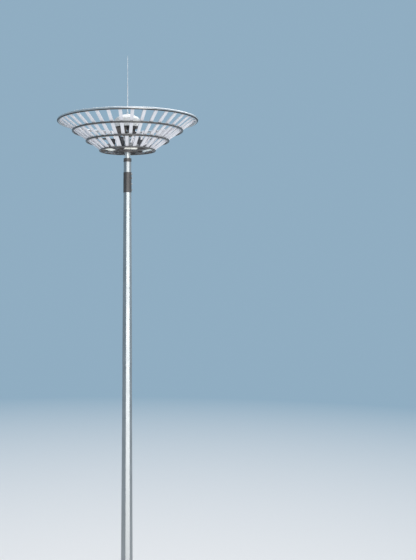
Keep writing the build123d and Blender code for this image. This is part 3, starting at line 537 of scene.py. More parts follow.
# Mast: three tapered eight-sided sections with rounded bends, slipped over each other
mast = {"base": 0.590, "taper": 0.0108, "bend": 0.022}
sections = [
    {"name": "mastLower", "node": "shaft_lower", "low": 0.03, "high": 10.35, "add": 0.0, "wall": 0.008,
     "seam": 0.04},
    {"name": "mastMiddle", "node": "shaft_middle", "low": 9.6, "high": 20.02, "add": 0.0146, "wall": 0.007,
     "seam": 9.604},
    {"name": "mastUpper", "node": "shaft_upper", "low": 19.4, "high": 28.3, "add": 0.0272, "wall": 0.006,
     "seam": 19.404},
]


def mastFlats(z, add=0):
    # width over the flats: the foot's width less the taper times the height, and what a section adds
    return mast["base"] - mast["taper"] * z + add


def bentOctagon(flats, bend, steps=5):
    # eight arcs of radius bend, each turning 45 degrees, joined by the flats
    turns = np.arange(8)[:, None] * pi / 4 + np.linspace(0, pi / 4, steps)
    centre = np.arange(8) * pi / 4 + pi / 8
    reach = (flats / 2 - bend) / cos(pi / 8)
    x = reach * np.cos(centre)[:, None] + bend * np.cos(turns)
    y = reach * np.sin(centre)[:, None] + bend * np.sin(turns)
    return np.stack([x, y], -1).reshape(-1, 2)


def bentShell(part, bend, rows):
    # rings up the outside, then down the inside, joined into one closed skin
    z = np.linspace(part["low"], part["high"], rows)
    return closedSkin([
        level(bentOctagon(mastFlats(h, part["add"]) - 2 * inset, max(bend - inset, 0.004)), h)
        for heights, inset in ((z, 0.0), (z[::-1], part["wall"])) for h in heights
    ])


for section in sections:
    makePiece(section["name"], bentShell(section, mast["bend"], 24), "mastPaint", "mast", section["node"])

# welds at the foot and round the neck, as rippled beads
weld = {"foot": 0.009, "gusset": 0.006, "ring": 0.007, "ripple": 0.0012, "pitch": 0.006}


def weldBead(path, out, up, size, loop=False):
    # quarter-round bead whose bulge swells and ebbs once a pitch; its root lies a little below both legs
    wave = weld["ripple"] * size / weld["foot"] * np.cos(2 * pi * runLength(path) / weld["pitch"])
    swell, edge = size * 0.74 + wave, np.full(len(path), size)
    a = (np.array([1.12, 0.8, 0.5, 0.2, -0.12]) * pi / 2)[:, None]
    reach = np.stack([edge, swell, swell, swell, edge], -1)[..., None]
    out, up = np.broadcast_to(out, path.shape), np.broadcast_to(up, path.shape)
    bulge = path[:, None] + reach * (np.cos(a) * out[:, None] + np.sin(a) * up[:, None])
    root = path[:, None] - size * 0.3 * (out + up)[:, None]
    rings = np.concatenate([bulge, root], 1)
    return closedSkin(rings) if loop else openSkin(rings)


def ringBead(path, size, up):
    # bead round the mast on a closed path, its legs pointing away from the axis and up or down
    flat = path * [1, 1, 0]
    return weldBead(path, flat / np.linalg.norm(flat, axis=1, keepdims=True), [0, 0, up], size, True)


def ringPath(radius, z, way):
    # circle of even steps, run the other way round (-1) when the bead hangs under a plate
    a = np.linspace(0, 2 * pi, 361)[:-1] * way
    return columns(radius * np.cos(a), radius * np.sin(a), z)


def octagonPath(flats, z, steps):
    # points at even parameter steps round the bent octagon
    corners = bentOctagon(flats, mast["bend"], 9)
    corners = np.vstack([corners, corners[:1]])
    fine = np.linspace(0, len(corners) - 1, steps + 1)[:-1]
    x, y = (np.interp(fine, np.arange(len(corners)), corners[:, k]) for k in (0, 1))
    return columns(x, y, z)


gusset = {"turns": evenTurns(0, 8), "half": 0.006, "low": 0.03, "high": 0.29, "reach": 0.47, "stop": 0.002}
beads = [ringBead(octagonPath(mastFlats(gusset["low"]), gusset["low"], 1400), weld["foot"], 1)]
outward = np.linspace(mastFlats(gusset["low"]) / 2 + weld["gusset"], gusset["reach"] - gusset["stop"], 90)
climb = np.linspace(gusset["low"] + weld["gusset"], gusset["high"] - gusset["stop"], 130)
for side in (-1, 1):
    flat = columns(outward, side * gusset["half"], gusset["low"])[::-side]
    rise = columns(mastFlats(climb) / 2, side * gusset["half"], climb)[::-side]
    beads.append(aroundMast(weldBead(flat, [0, side, 0], [0, 0, 1], weld["gusset"]), gusset["turns"]))
    beads.append(aroundMast(weldBead(rise, [1, 0, 0], [0, side, 0], weld["gusset"]), gusset["turns"]))
makePiece("footWelds", beads, "weldBead", "mast")

neck = {"radius": 0.122, "foot": 28.316, "top": 29.44}
makePiece("neckWelds", [
    ringBead(ringPath(neck["radius"], neck[end], way), weld["ring"], way)
    for end, way in (("foot", 1), ("top", -1))
], "weldBead", "mast")

# the seam that closes each section, up the middle of its back, and the sealant under each slip joint
seam = {"half": 0.006, "rise": 0.0017, "sink": 0.0004, "root": 0.002, "stop": 0.004, "steps": 7}
seamLine = [
    (x, seam["rise"] * cos(x / seam["half"] * pi / 2) - seam["sink"])
    for x in np.linspace(-seam["half"], seam["half"], seam["steps"])
] + [(seam["half"], -seam["root"]), (-seam["half"], -seam["root"])]
lean = np.array([0, -mast["taper"] / 2, 1.0])
seams = [
    plank(seamLine[::-1], [section["seam"], section["high"] - seam["stop"]], (-1, 0, 0), lean, (0, 1, 0),
          (0, (mast["base"] + section["add"]) / 2, 0))
    for section in sections
]
makePiece("shaftSeams", seams, "mastPaint", "mast", sharp=60)
seals = [
    ringBead(octagonPath(mastFlats(over["low"], below["add"]), over["low"], 240)[::-1], weld["ring"], -1)
    for below, over in zip(sections, sections[1:])
]
makePiece("jointSealant", seals, "mastPaint", "mast", sharp=60)

# ribs that carry the head plate on the neck, each a plate with a cut corner at the weld
rib = {"turns": evenTurns(26, 6), "half": 0.004, "reach": 0.33, "drop": 0.15, "nose": 0.018, "cut": 0.012}
neckR, headZ = neck["radius"] - 0.0005, neck["top"]
ribLine = [
    (neckR, headZ - rib["cut"]), (neckR, headZ - rib["drop"]), (neckR + rib["nose"], headZ - rib["drop"]),
    (rib["reach"], headZ - rib["nose"]), (rib["reach"], headZ), (neckR + rib["cut"], headZ),
]
headRib = plank(ribLine, eased(-rib["half"], rib["half"], 0.0008), (1, 0, 0), (0, 1, 0), (0, 0, 1))
makePiece("headRibs", headRib, "floorPaint", "mast", sharp=30, turns=rib["turns"])

# Anchor bolts through the flange, each with a washer, a nut and a locknut
anchors = {"turns": evenTurns(11.25, 16), "circle": 0.440, "radius": 0.018, "thread": 0.0011, "pitch": 0.004,
           "low": 0.001, "top": 0.135, "washer": (0.034, 0.006), "washerZ": 0.0302, "nut": (0.055, 0.029),
           "nutZ": 0.0362, "locknut": (0.055, 0.018), "lockZ": 0.0654, "lockTurn": 107}
threadRows = int(anchors["top"] / anchors["pitch"] * 2)
studZ = np.linspace(anchors["low"], anchors["top"] - 0.003, threadRows)
studR = anchors["radius"] - anchors["thread"] * (np.arange(threadRows) % 2)
stud = [(0, anchors["low"]), *zip(studR, studZ), (0.014, anchors["top"]), (0, anchors["top"])]
stack = joinShapes([
    lathe(stud, 16),
    moved(washer(*anchors["washer"]), [0, 0, anchors["washerZ"]]),
    moved(hexHead(*anchors["nut"]), [0, 0, anchors["nutZ"]]),
    copyShape(hexHead(*anchors["locknut"]), turnBy(anchors["lockTurn"]), [0, 0, anchors["lockZ"]]),
])
stack = moved(stack, [anchors["circle"], 0, 0])
makePiece("anchorBolts", stack, "galvanised", "mast", sharp=32, turns=anchors["turns"])
print("mast sections, weld and anchor bolts made")


# Service door: pressed cover and hinge screws on the CAD frame, and the bolt of the earthing lug
door = {"z": 1.0, "out": 0.018, "lean": atan(0.0054), "width": 0.182, "height": 0.832, "corner": 0.066,
        "profile": [(0.003, 0.0003), (0, 0.002), (0, 0.0035), (0.0012, 0.0042), (0.014, 0.0042),
                    (0.017, 0.0065), (0.020, 0.0072)],
        "screw": (0.010, 0.004, 0.008, 0.0012), "screwXs": (-0.082, -0.068), "screwYs": (0.245, 0.275),
        "screwOut": 0.025}
doorUp, doorOut = [0, sin(door["lean"]), cos(door["lean"])], [0, -cos(door["lean"]), sin(door["lean"])]
doorFrame = np.stack([[1, 0, 0], doorUp, doorOut], -1)
doorSpot = np.array([0, -mastFlats(door["z"]) / 2, door["z"]])


def onDoor(shape, x, y, out):
    # x across the door, y up along it, out from the shaft's face
    return copyShape(shape, doorFrame, doorSpot + doorFrame @ [x, y, out])


doorPanel = pressedPanel(door["width"], door["height"], door["corner"], door["profile"])
makePiece("doorPanel", onDoor(doorPanel, 0, 0, door["out"]), "mastPaint", "mast", "door_cover")
screws = [
    onDoor(boltAt(door["screw"]), x, y * side, door["screwOut"])
    for side in (-1, 1) for x in door["screwXs"] for y in door["screwYs"]
]
makePiece("hingeScrews", screws, "galvanised", "mast")
earth = {"z": 0.42, "y": 0.3259, "half": 0.005, "head": (0.019, 0.008, 0.012, 0.0022),
         "nut": (0.019, 0.010, 0.012, 0.0022)}
makePiece("earthBolt", [
    boltAt(earth[part], [side * earth["half"], earth["y"], earth["z"]], (side, 0, 0))
    for part, side in (("head", 1), ("nut", -1))
], "galvanised", "mast")
print("door and earthing bolt made")


# Clamped sleeve in two bent halves, with bolts through its ears
sleeve = {"low": 26.90, "high": 27.77, "add": 0.0478, "wall": 0.010, "bend": 0.0323, "split": 0.002,
          "edge": 0.0015}
ear = {"from": 0.1535, "to": 0.2076, "high": 0.060, "thick": 0.014, "zs": (27.01, 27.27, 27.53, 27.70),
       "boltX": 0.1906, "boltY": 0.016, "bolt": (0.024, 0.012, 0.015, 0.0028)}


def bentHalf(low, high, add, wall, bend, split, edge):
    # the back half of the bent octagon: its wall's section carried from one side's split to the other's
    section = [(edge, low), (0, low + edge), (0, high - edge), (edge, high),
               (wall - edge, high), (wall, high - edge), (wall, low + edge), (wall - edge, low)]
    lines = []
    for inset, z in section:
        flats = mastFlats(z, add) - 2 * inset
        arcs = bentOctagon(flats, bend - inset)[:20]
        lines.append(level(np.vstack([[flats / 2, split], arcs, [-flats / 2, split]]), z))
    return openSkin(np.stack(lines, 1))


earBlock = softBlock(ear["to"] - ear["from"], ear["high"], ear["thick"], 0.004, 0.0012, 4)
earSpots = [[(ear["to"] + ear["from"]) / 2, sleeve["split"], z] for z in ear["zs"]]
ears = copyShape(earBlock, [[1, 0, 0], [0, 0, 1], [0, -1, 0]], earSpots)
backHalf = joinShapes([bentHalf(**sleeve), ears])
frontHalf = turnedOver(backHalf, [1, -1, 1])
makePiece("sleeveFront", frontHalf, "darkPaint", "mast", "sleeve_front", sharp=32)
makePiece("sleeveBack", backHalf, "darkPaint", "mast", "sleeve_back", sharp=32)
makePiece("sleeveBolts", [
    boltAt(ear["bolt"], [ear["boltX"], side * ear["boltY"], z], (0, side, 0))
    for z in ear["zs"] for side in (-1, 1)
], "galvanised", "mast")

band = {"low": 28.22, "high": 28.37, "add": 0.0478, "wall": 0.010, "bend": 0.0323, "screwZ": 28.295}
makePiece("collarBand", bentShell(band, band["bend"], 6), "darkPaint", "mast", "collar_band")
bandScrew = boltAt(smallBolt, [mastFlats(band["screwZ"], band["add"]) / 2, 0, band["screwZ"]], (1, 0, 0))
makePiece("bandScrews", bandScrew, "galvanised", "mast", turns=evenTurns(0, 8))


# Cap over the head: drum and shallow dome with a rolled edge, and the lightning rod on it
cap = {"radius": 0.58, "wall": 0.004, "low": 29.70, "skirt": 0.33, "rise": 0.25, "flat": 0.06,
       "shoulder": 0.022, "lip": [(0, 0.03), (0.006, 0.022), (0.007, 0.010), (0.003, 0.001), (-0.004, 0.001)]}
domeRadius = (cap["radius"] ** 2 + cap["rise"] ** 2) / (2 * cap["rise"])
domeCentre = cap["low"] + cap["skirt"] + cap["rise"] - domeRadius
topZ = domeCentre + sqrt(domeRadius ** 2 - cap["flat"] ** 2)


def capProfile(inset):
    # dome radius r at height centre + sqrt(R^2 - r^2), eased by a quadratic curve into the skirt
    edge = cap["radius"] - inset
    r = np.linspace(cap["flat"] - inset, edge - cap["shoulder"], 26)
    z = domeCentre + np.sqrt((domeRadius - inset) ** 2 - r ** 2)
    t = np.linspace(0, 1, 7)[1:, None]
    endZ = domeCentre + sqrt((domeRadius - inset) ** 2 - edge ** 2) - cap["shoulder"]
    start, corner, end = np.array([[r[-1], z[-1]], [edge, endZ + cap["shoulder"]], [edge, endZ]])
    arc = (1 - t) ** 2 * start + 2 * t * (1 - t) * corner + t ** 2 * end
    return np.vstack([columns(r, z), arc])


inner = capProfile(cap["wall"])
lip = np.array([cap["radius"], cap["low"]]) + cap["lip"]
capLine = np.vstack([[[0, topZ]], capProfile(0), lip, inner[::-1], [[0, inner[0, 1]]]])[::-1]
makePiece("capShell", lathe(capLine, 96), "capWhite", "mast", "rain_cap")

tab = {"y": 0.027, "z": 29.77, "turns": evenTurns(26, 3), "bolt": (0.013, 0.006, 0.011, 0.002)}
tabX = sqrt(cap["radius"] ** 2 - tab["y"] ** 2)
makePiece("capScrews", [
    boltAt(tab["bolt"], [tabX, side * tab["y"], tab["z"]], [tabX, side * tab["y"], 0]) for side in (-1, 1)
], "rodSteel", "mast", turns=tab["turns"])

rod = {"foot": topZ + 0.011, "stem": 0.022, "mid": 31.5377, "thin": 0.012, "top": 32.8077, "boltX": 0.047,
       "boltTurns": evenTurns(20, 4)}
mid, tip = rod["mid"], rod["top"]
rodLine = [
    (0, rod["foot"]), (rod["stem"], rod["foot"]), (rod["stem"], mid - 0.06), (0.0185, mid - 0.035),
    (0.0145, mid - 0.006), (0.014, mid + 0.0004), (0, mid + 0.0004),
]
tipLine = [
    (0, mid + 0.0005), (0.0165, mid + 0.0006), (0.0165, mid + 0.03), (rod["thin"], mid + 0.034),
    (rod["thin"], tip - 0.16), (0.0085, tip - 0.08), (0.003, tip - 0.006), (0, tip),
]
makePiece("rodStem", lathe(rodLine, 24), "rodSteel", "mast", "rod_lower")
makePiece("rodTip", lathe(tipLine, 24), "rodSteel", "mast", "rod_upper")
rodBolt = boltAt(footBolt, [rod["boltX"], 0, topZ + 0.0101])
makePiece("rodBolts", rodBolt, "galvanised", "mast", turns=rod["boltTurns"])
print("cap and lightning rod made")


# Crown: the slats lie in planes on a cone that touches every hoop from inside
crown = {"floorZ": 28.70, "floorR": 1.20, "floorTube": 0.030, "rimR": 2.99, "rise": 1.28, "rimTube": 0.0575,
         "hoopTube": 0.040, "upperRise": 0.845, "middleRise": 0.410, "turn": 6.0, "ribWidth": 0.14,
         "gap": 0.0003, "sleeveWall": 0.0025, "deckTop": 28.723, "deckUnder": 28.680, "ropeR": 0.490}
roughAngle = atan2(crown["rise"], crown["rimR"] - crown["floorR"])


def hoopDepth(radius, tube):
    # from a hoop's centre line to the slats' plane: the tube, the gap and the sagitta of a slat's width
    sag = radius - sqrt(radius ** 2 - (crown["ribWidth"] / 2) ** 2)
    return tube + crown["gap"] + sag * sin(roughAngle)


floorDepth = hoopDepth(crown["floorR"], crown["floorTube"])
rimDepth = hoopDepth(crown["rimR"], crown["rimTube"])
coneLength = hypot(crown["rimR"] - crown["floorR"], crown["rise"])
coneAngle = roughAngle + asin((rimDepth - floorDepth) / coneLength)
upCone = np.array([cos(coneAngle), 0, sin(coneAngle)])
inCone = np.array([-sin(coneAngle), 0, cos(coneAngle)])
coneFoot = np.array([crown["floorR"], 0, crown["floorZ"]]) + inCone * floorDepth
rimAt = coneLength * cos(coneAngle - roughAngle)


def hoopPlace(rise, tube):
    # distance up the cone and radius of the hoop at that rise, found by four rounds of substitution
    away, radius = 0.0, crown["floorR"]
    for _ in range(4):
        depth = hoopDepth(radius, tube)
        away = (crown["floorZ"] + rise + inCone[2] * depth - coneFoot[2]) / upCone[2]
        radius = coneFoot[0] + upCone[0] * away - inCone[0] * depth
    return away, radius


upperAt, upperR = hoopPlace(crown["upperRise"], crown["hoopTube"])
middleAt, middleR = hoopPlace(crown["middleRise"], crown["hoopTube"])
hoops = [  # name, node, radius, rise, tube, finish, length of its joint sleeves and where they start
    ("rimHoop", "rim_hoop", crown["rimR"], crown["rise"], crown["rimTube"], "rimLitMetal", 0.26, 5),
    ("upperHoop", "hoop_upper", upperR, crown["upperRise"], crown["hoopTube"], "hoopMetal", 0.18, 5),
    ("middleHoop", "hoop_middle", middleR, crown["middleRise"], crown["hoopTube"], "hoopMetal", 0.12, 5),
    ("floorHoop", "floor_ring", crown["floorR"], 0.0, crown["floorTube"], "hoopMetal", 0.12, 7.5),
    ("innerHoop", "inner_ring", 0.42, 0.0, 0.025, "floorPaint", None, None),
]
for name, node, r, rise, tube, finish, _, _ in hoops:
    makePiece(name, ringTube(r, crown["floorZ"] + rise, tube, 216), finish, "crown", node)
for name, _, r, rise, tube, finish, length, start in hoops[:4]:
    half = np.degrees(length / r) / 2
    jointSleeve = ringTube(r, crown["floorZ"] + rise, tube + crown["sleeveWall"], 9, half)
    turns = evenTurns(crown["turn"] + start, 4)
    makePiece(name + "Sleeves", jointSleeve, finish, "crown", turns=turns)

# guard ring hung under the floor's hole, so that nothing catches the mast: a short cone with a rolled edge
guard = {"top": 28.683, "low": 28.602, "topR": 0.404, "lowR": 0.378, "wall": 0.003, "roll": 0.006}
rollTurns = np.radians(np.linspace(200, -70, 10))
rollR = guard["lowR"] + guard["roll"] + guard["roll"] * np.cos(rollTurns)
guardLine = np.vstack([
    [(guard["topR"] + guard["wall"], guard["top"]), (guard["topR"], guard["top"])],
    columns(rollR, guard["low"] + guard["roll"] * np.sin(rollTurns)),
    [(guard["lowR"] + guard["wall"] + 0.003, guard["low"] + 0.004)],
])
makePiece("guardRing", latheRing(guardLine, 96), "floorPaint", "crown", sharp=50)

slat = {"wall": 0.0022, "lip": 0.046, "skin": 0.003}
ribBar = {"wall": 0.005, "lip": 0.050, "skin": 0.005}
slatWidths = {"top": 0.140, "middle": 0.139, "low": 0.130}
slatEnds = {"foot": -0.008, "gap": 0.006, "over": 0.02}


def slatSection(width, wall, lip, skin):
    # flat outer face, rounded edges, a lip at each side, and the inner face set back between the lips
    w, c = width / 2, min(0.0022, wall * 0.45)
    a = np.linspace(0, pi / 2, 4)
    corner = columns(w - c + c * np.sin(a), c - c * np.cos(a))
    half = np.vstack([corner, [
        [w, lip - 0.0008], [w - 0.0008, lip], [w - skin + 0.0004, lip], [w - skin, lip - 0.0006],
        [w - skin, wall + 0.001], [w - skin - 0.001, wall],
    ]])
    return np.vstack([half, half[::-1] * [-1, 1]])


def slatTier(name, node, start, end, width, turns, bar=slat):
    # the section carried up the cone from start to end, then copied round
    piece = plank(slatSection(width, **bar), eased(start, end), (0, -1, 0), upCone, inCone, coneFoot)
    makePiece(name, piece, "slatWhite", "crown", node, sharp=30, turns=turns)


ribTurns, lowTurns = evenTurns(crown["turn"], 12), evenTurns(crown["turn"] + 15, 12)
slatTurns = evenTurns(crown["turn"], 36)[np.arange(36) % 3 != 0]
rimEnd, gap = rimAt + slatEnds["over"], slatEnds["gap"]
slatTier("slatsTop", "slats_upper", upperAt + gap, rimEnd, slatWidths["top"], slatTurns)
slatTier("slatsMiddle", "slats_middle", middleAt + gap, upperAt - gap, slatWidths["middle"], slatTurns)
slatTier("slatsLow", "slats_lower", slatEnds["foot"], middleAt - gap, slatWidths["low"], lowTurns)
slatTier("ribs", "crown_ribs", slatEnds["foot"], rimEnd, crown["ribWidth"], ribTurns, ribBar)

# dome-headed screws that hold the slats to the hoops, two at each end
screw = {"half": 0.035, "step": 0.022, "foot": 0.006}
screwDome = lathe([(0, 0), (0.0085, 0), (0.0085, 0.0012), (0.006, 0.0045), (0, 0.006)], 8)
screwTilt = np.stack([upCone, [0, 1, 0], inCone], -1)


def screwRow(at, turns, bar=slat):
    # two screws at each turn, half to either side of the slat's middle
    seat = coneFoot + upCone * at + inCone * bar["wall"]
    spots = [seat + [0, side * screw["half"], 0] for side in (-1, 1)]
    return aroundMast(copyShape(screwDome, screwTilt, spots), turns)


step, foot = screw["step"], screw["foot"]
slatRows = [(rimAt, slatTurns), (upperAt + step, slatTurns), (upperAt - step, slatTurns),
            (middleAt + step, slatTurns), (middleAt - step, lowTurns), (foot, lowTurns)]
slatScrews = [screwRow(at, turns) for at, turns in slatRows]
slatScrews += [screwRow(at, ribTurns, ribBar) for at in (rimAt, upperAt, middleAt, foot)]
makePiece("slatScrews", slatScrews, "galvanised", "crown")
print("hoops and slats made")


# Floodlights: bezel with screws, board with lamp domes behind the glass
light = {"turns": evenTurns(2, 5), "r": 0.87, "tilt": radians(12), "width": 0.6, "depth": 0.46,
         "recessWidth": 0.564, "recessDepth": 0.424, "recess": 0.034, "domeRise": 0.0041}
lampSpot = np.array([light["r"], 0, crown["floorZ"]])
lampFrame = np.stack([
    [cos(light["tilt"]), 0, sin(light["tilt"])], [0, 1, 0], [-sin(light["tilt"]), 0, cos(light["tilt"])],
], -1)


def onLamps(name, shape, finish, replaced=None, sharp=40):
    # a piece moved from the tilted frame of a floodlight to all five places
    makePiece(name, copyShape(shape, lampFrame, lampSpot), finish, "crown", replaced, sharp, light["turns"])


dome = lathe([(0.0095, 0), (0.0085, -0.0045), (0.005, -0.0082), (0, -0.0095)], 8)
domeX, domeY = np.meshgrid(np.linspace(-0.18, 0.18, 9), np.linspace(-0.25, 0.25, 12), indexing="ij")
domes = moved(turnedOver(dome), columns(domeX.ravel(), domeY.ravel(), light["recess"] - light["domeRise"]))
onLamps("ledDomes", domes, "ledDome", sharp=60)

bezel = {"outW": light["width"] - 0.004, "outD": light["depth"] - 0.004, "inW": light["recessWidth"] - 0.012,
         "inD": light["recessDepth"] - 0.012, "corner": 0.014, "thick": 0.006, "ease": 0.003}


def frameBezel(outW, outD, inW, inD, corner, thick, ease):
    # two rounded rectangles, outside and inside, with the bezel's rounded section between them
    return closedSkin(roundedRings([
        (outD, outW, corner, 0.0), (outD, outW, corner, -thick * 0.6),
        (outD - ease, outW - ease, corner, -thick), (inD + ease, inW + ease, corner * 0.6, -thick),
        (inD, inW, corner * 0.6, -thick * 0.6), (inD, inW, corner * 0.6, 0.0),
    ], 6), flip=False)


onLamps("lampBezels", frameBezel(**bezel), "castHousing")
bezelScrew = lathe([(0, -0.0095), (0.004, -0.0095), (0.0052, -0.0085), (0.0052, -0.006), (0, -0.006)], 8)
screwX = [-0.222] * 4 + [0.222] * 4 + [-0.11, 0.11] * 2
screwY = [-0.27, -0.09, 0.09, 0.27] * 2 + [-0.291] * 2 + [0.291] * 2
onLamps("bezelScrews", moved(bezelScrew, columns(screwX, screwY, 0)), "galvanised")
housing = {"band": 0.060, "top": 0.170, "backWidth": 0.42, "backDepth": 0.28, "groove": 0.029, "fins": 11,
           "finFoot": 0.005, "finEnd": 0.012}


def housingSkin():
    # rounded rectangles from the recess's floor, out under the rim, up the band and in along the taper
    d, w, inD, inW = (light[key] for key in ("depth", "width", "recessDepth", "recessWidth"))
    backD, backW, g, top = (housing[key] for key in ("backDepth", "backWidth", "groove", "top"))
    return openSkin(roundedRings([
        (inD, inW, 0.012, light["recess"]), (inD, inW, 0.012, 0.001), (inD + 0.003, inW + 0.003, 0.013, 0.0),
        (d - 0.003, w - 0.003, 0.018, 0.0), (d, w, 0.020, 0.0015),
        (d, w, 0.020, g - 0.002), (d - 0.004, w - 0.004, 0.018, g - 0.001),
        (d - 0.004, w - 0.004, 0.018, g + 0.001), (d, w, 0.020, g + 0.002),
        (d, w, 0.020, housing["band"] - 0.003), (d - 0.005, w - 0.005, 0.020, housing["band"] + 0.0015),
        (backD + 0.005, backW + 0.005, 0.026, top - 0.004),
        (backD - 0.004, backW - 0.004, 0.022, top - 0.0005), (backD - 0.010, backW - 0.010, 0.020, top),
    ], 6))


def coolingFin():
    # a thin rounded plate that narrows to its tip and draws in at both ends; rows of inset, thinning and rise
    rows = [(0.0, 0.0, -0.002), (0.0, 0.0, 0.004), (0.012, 0.0008, 0.034), (0.022, 0.0014, 0.043),
            (0.034, 0.0018, 0.046)]
    length, thick, top = housing["backDepth"] - housing["finEnd"], housing["finFoot"], housing["top"]
    return openSkin(roundedRings([
        (length - inset, thick - slim, 0.0014, top + rise) for inset, slim, rise in rows
    ], 3))


finSpan = housing["backWidth"] - housing["finFoot"] - housing["finEnd"]
finY = np.linspace(-0.5, 0.5, housing["fins"]) * finSpan
fins = moved(coolingFin(), columns(0, finY, 0))
onLamps("lampHousings", joinShapes([housingSkin(), fins]), "castHousing", "floodlight_housings", 35)

# brackets bent from flat bar: a foot on the deck, a bend, and an upright on the housing's side
bracket = {"thick": 0.008, "half": 0.050, "inner": 0.3003, "foot": 0.380, "high": 0.074, "bend": 0.014,
           "sideZ": 28.765, "sideBolt": (0.019, 0.008, 0.013, 0.002), "footX": 0.03, "footY": 0.358,
           "footBolt": (0.016, 0.007, 0.011, 0.002)}


def bentBar():
    # the outer side turns on the bend's radius, the inner side on the same centre less the thickness
    a = np.linspace(0, pi / 2, 7)
    inner, thick, bend, foot, high = (bracket[key] for key in ("inner", "thick", "bend", "foot", "high"))
    outside, inside = (
        columns(inner + bend - r * np.sin(a), bend - r * np.cos(a)) for r in (bend, bend - thick)
    )
    upright = [(inner, high), (inner + thick, high)]
    return np.vstack([[(foot, 0)], outside, upright, inside[::-1], [(foot, thick)]])


brackets, bracketBolts = [], []
for side in (-1, 1):
    stations = eased(-bracket["half"], bracket["half"]) * side
    spot = (light["r"], 0, crown["deckTop"])
    brackets.append(plank(bentBar()[::side], stations, (0, side, 0), (1, 0, 0), (0, 0, 1), spot))
    seat = [light["r"], side * (bracket["inner"] + bracket["thick"]), bracket["sideZ"]]
    bracketBolts.append(boltAt(bracket["sideBolt"], seat, (0, side, 0)))
    for x in (-bracket["footX"], bracket["footX"]):
        seat = [light["r"] + x, side * bracket["footY"], crown["deckTop"] + bracket["thick"]]
        bracketBolts.append(boltAt(bracket["footBolt"], seat))
makePiece("lampBrackets", brackets, "galvanised", "crown", "floodlight_brackets", 30, light["turns"])
makePiece("bracketBolts", bracketBolts, "galvanised", "crown", turns=light["turns"])
print("floodlights dressed")


# Driver cabinets: case, lid with a drip edge, pressed door with louvres, hinges, locks and cleats
cabinet = {"turns": evenTurns(38, 5), "r": 0.62, "deep": 0.150, "wide": 0.190, "tall": 0.480,
           "corner": 0.008, "lid": 0.012, "lip": 0.006, "skirt": 0.010, "doorMiddle": 0.232,
           "hingeY": -0.0895, "hingeZs": (-0.165, 0.115), "lockY": 0.0745, "lockZs": (-0.14, 0.14),
           "cleatX": 0.045, "cleatBoltY": 0.015, "leaf": (0.424, 0.168, 0.010), "louvreHalf": 0.045,
           "louvreFrom": (-0.165, 0.085), "louvreStep": 0.02, "louvres": 5}
caseShape = moved(
    softBlock(cabinet["deep"], cabinet["wide"], cabinet["tall"], cabinet["corner"], 0.0012, 5),
    [cabinet["r"], 0, crown["deckTop"]],
)
lidShape = moved(
    softBlock(cabinet["deep"] + 2 * cabinet["lip"], cabinet["wide"] + 2 * cabinet["lip"],
              cabinet["lid"] + cabinet["skirt"], cabinet["corner"] + 0.004, 0.0025, 5),
    [cabinet["r"], 0, crown["deckTop"] + cabinet["tall"] - cabinet["skirt"]],
)
cabinetFace = np.array([cabinet["r"] + cabinet["deep"] / 2, 0, crown["deckTop"] + cabinet["doorMiddle"]])
outwards = aimed((1, 0, 0))
doorProfile = [(0.003, -0.0005), (0, 0.001), (0, 0.0042), (0.0014, 0.005), (0.016, 0.005), (0.0195, 0.0078),
               (0.023, 0.0084)]
doorLeaf = copyShape(pressedPanel(*cabinet["leaf"], doorProfile), outwards, cabinetFace)
louvreLine = [(0, 0.0078), (0.013, 0.0078), (0.012, 0.0105), (0.008, 0.0128), (0.0012, 0.0142), (0, 0.0136)]
stations = eased(-cabinet["louvreHalf"], cabinet["louvreHalf"])
louvre = plank(louvreLine, stations, (0, 0, 1), (0, -1, 0), (1, 0, 0))
steps = np.arange(cabinet["louvres"]) * cabinet["louvreStep"]
louvreZs = np.concatenate([z + steps for z in cabinet["louvreFrom"]])
louvres = moved(louvre, cabinetFace + columns(0, 0, louvreZs))
makePiece(
    "cabinetCases", [caseShape, lidShape, doorLeaf, louvres], "cabinetPaint", "crown", "driver_cabinets",
    sharp=32, turns=cabinet["turns"],
)

hingeLine = [(0, 0), (0.0052, 0.0006), (0.0058, 0.002), (0.0058, 0.023), (0.0052, 0.0238), (0.0052, 0.0248),
             (0.0058, 0.0256), (0.0058, 0.048), (0.0052, 0.0494), (0, 0.05)]
hingeSpots = [cabinetFace + [0.004, cabinet["hingeY"], z] for z in cabinet["hingeZs"]]
hinges = moved(lathe(hingeLine, 16), hingeSpots)
lockSpots = [cabinetFace + [0, cabinet["lockY"], z] for z in cabinet["lockZs"]]
lockLine = [(0, 0.004), (0.0125, 0.004), (0.0125, 0.0062), (0.0115, 0.0074), (0.0085, 0.0074),
            (0.0085, 0.0115), (0.0075, 0.0125), (0, 0.0125)]
locks = copyShape(lathe(lockLine, 20), outwards, lockSpots)
lockBit = moved(softBlock(0.015, 0.0032, 0.003, 0.001, 0.0006, 3), [0, 0, 0.012])
lockBits = copyShape(lockBit, outwards, lockSpots)
cleat = [(0, 0), (0.026, 0), (0.026, 0.003), (0.0045, 0.003), (0.003, 0.0045), (0.003, 0.024), (0, 0.024)]
fittings = [hinges, locks, lockBits]
for side in (-1, 1):
    for x in (-cabinet["cleatX"], cabinet["cleatX"]):
        spot = np.array([cabinet["r"] + x, side * cabinet["wide"] / 2, crown["deckTop"]])
        stations = eased(-0.012, 0.012, 0.0008) * side
        fittings.append(plank(cleat[::side], stations, (0, side, 0), (1, 0, 0), (0, 0, 1), spot))
        fittings.append(boltAt(smallBolt, spot + [0, side * cabinet["cleatBoltY"], 0.003]))
makePiece("cabinetFittings", fittings, "galvanised", "crown", turns=cabinet["turns"])
print("cabinets dressed")


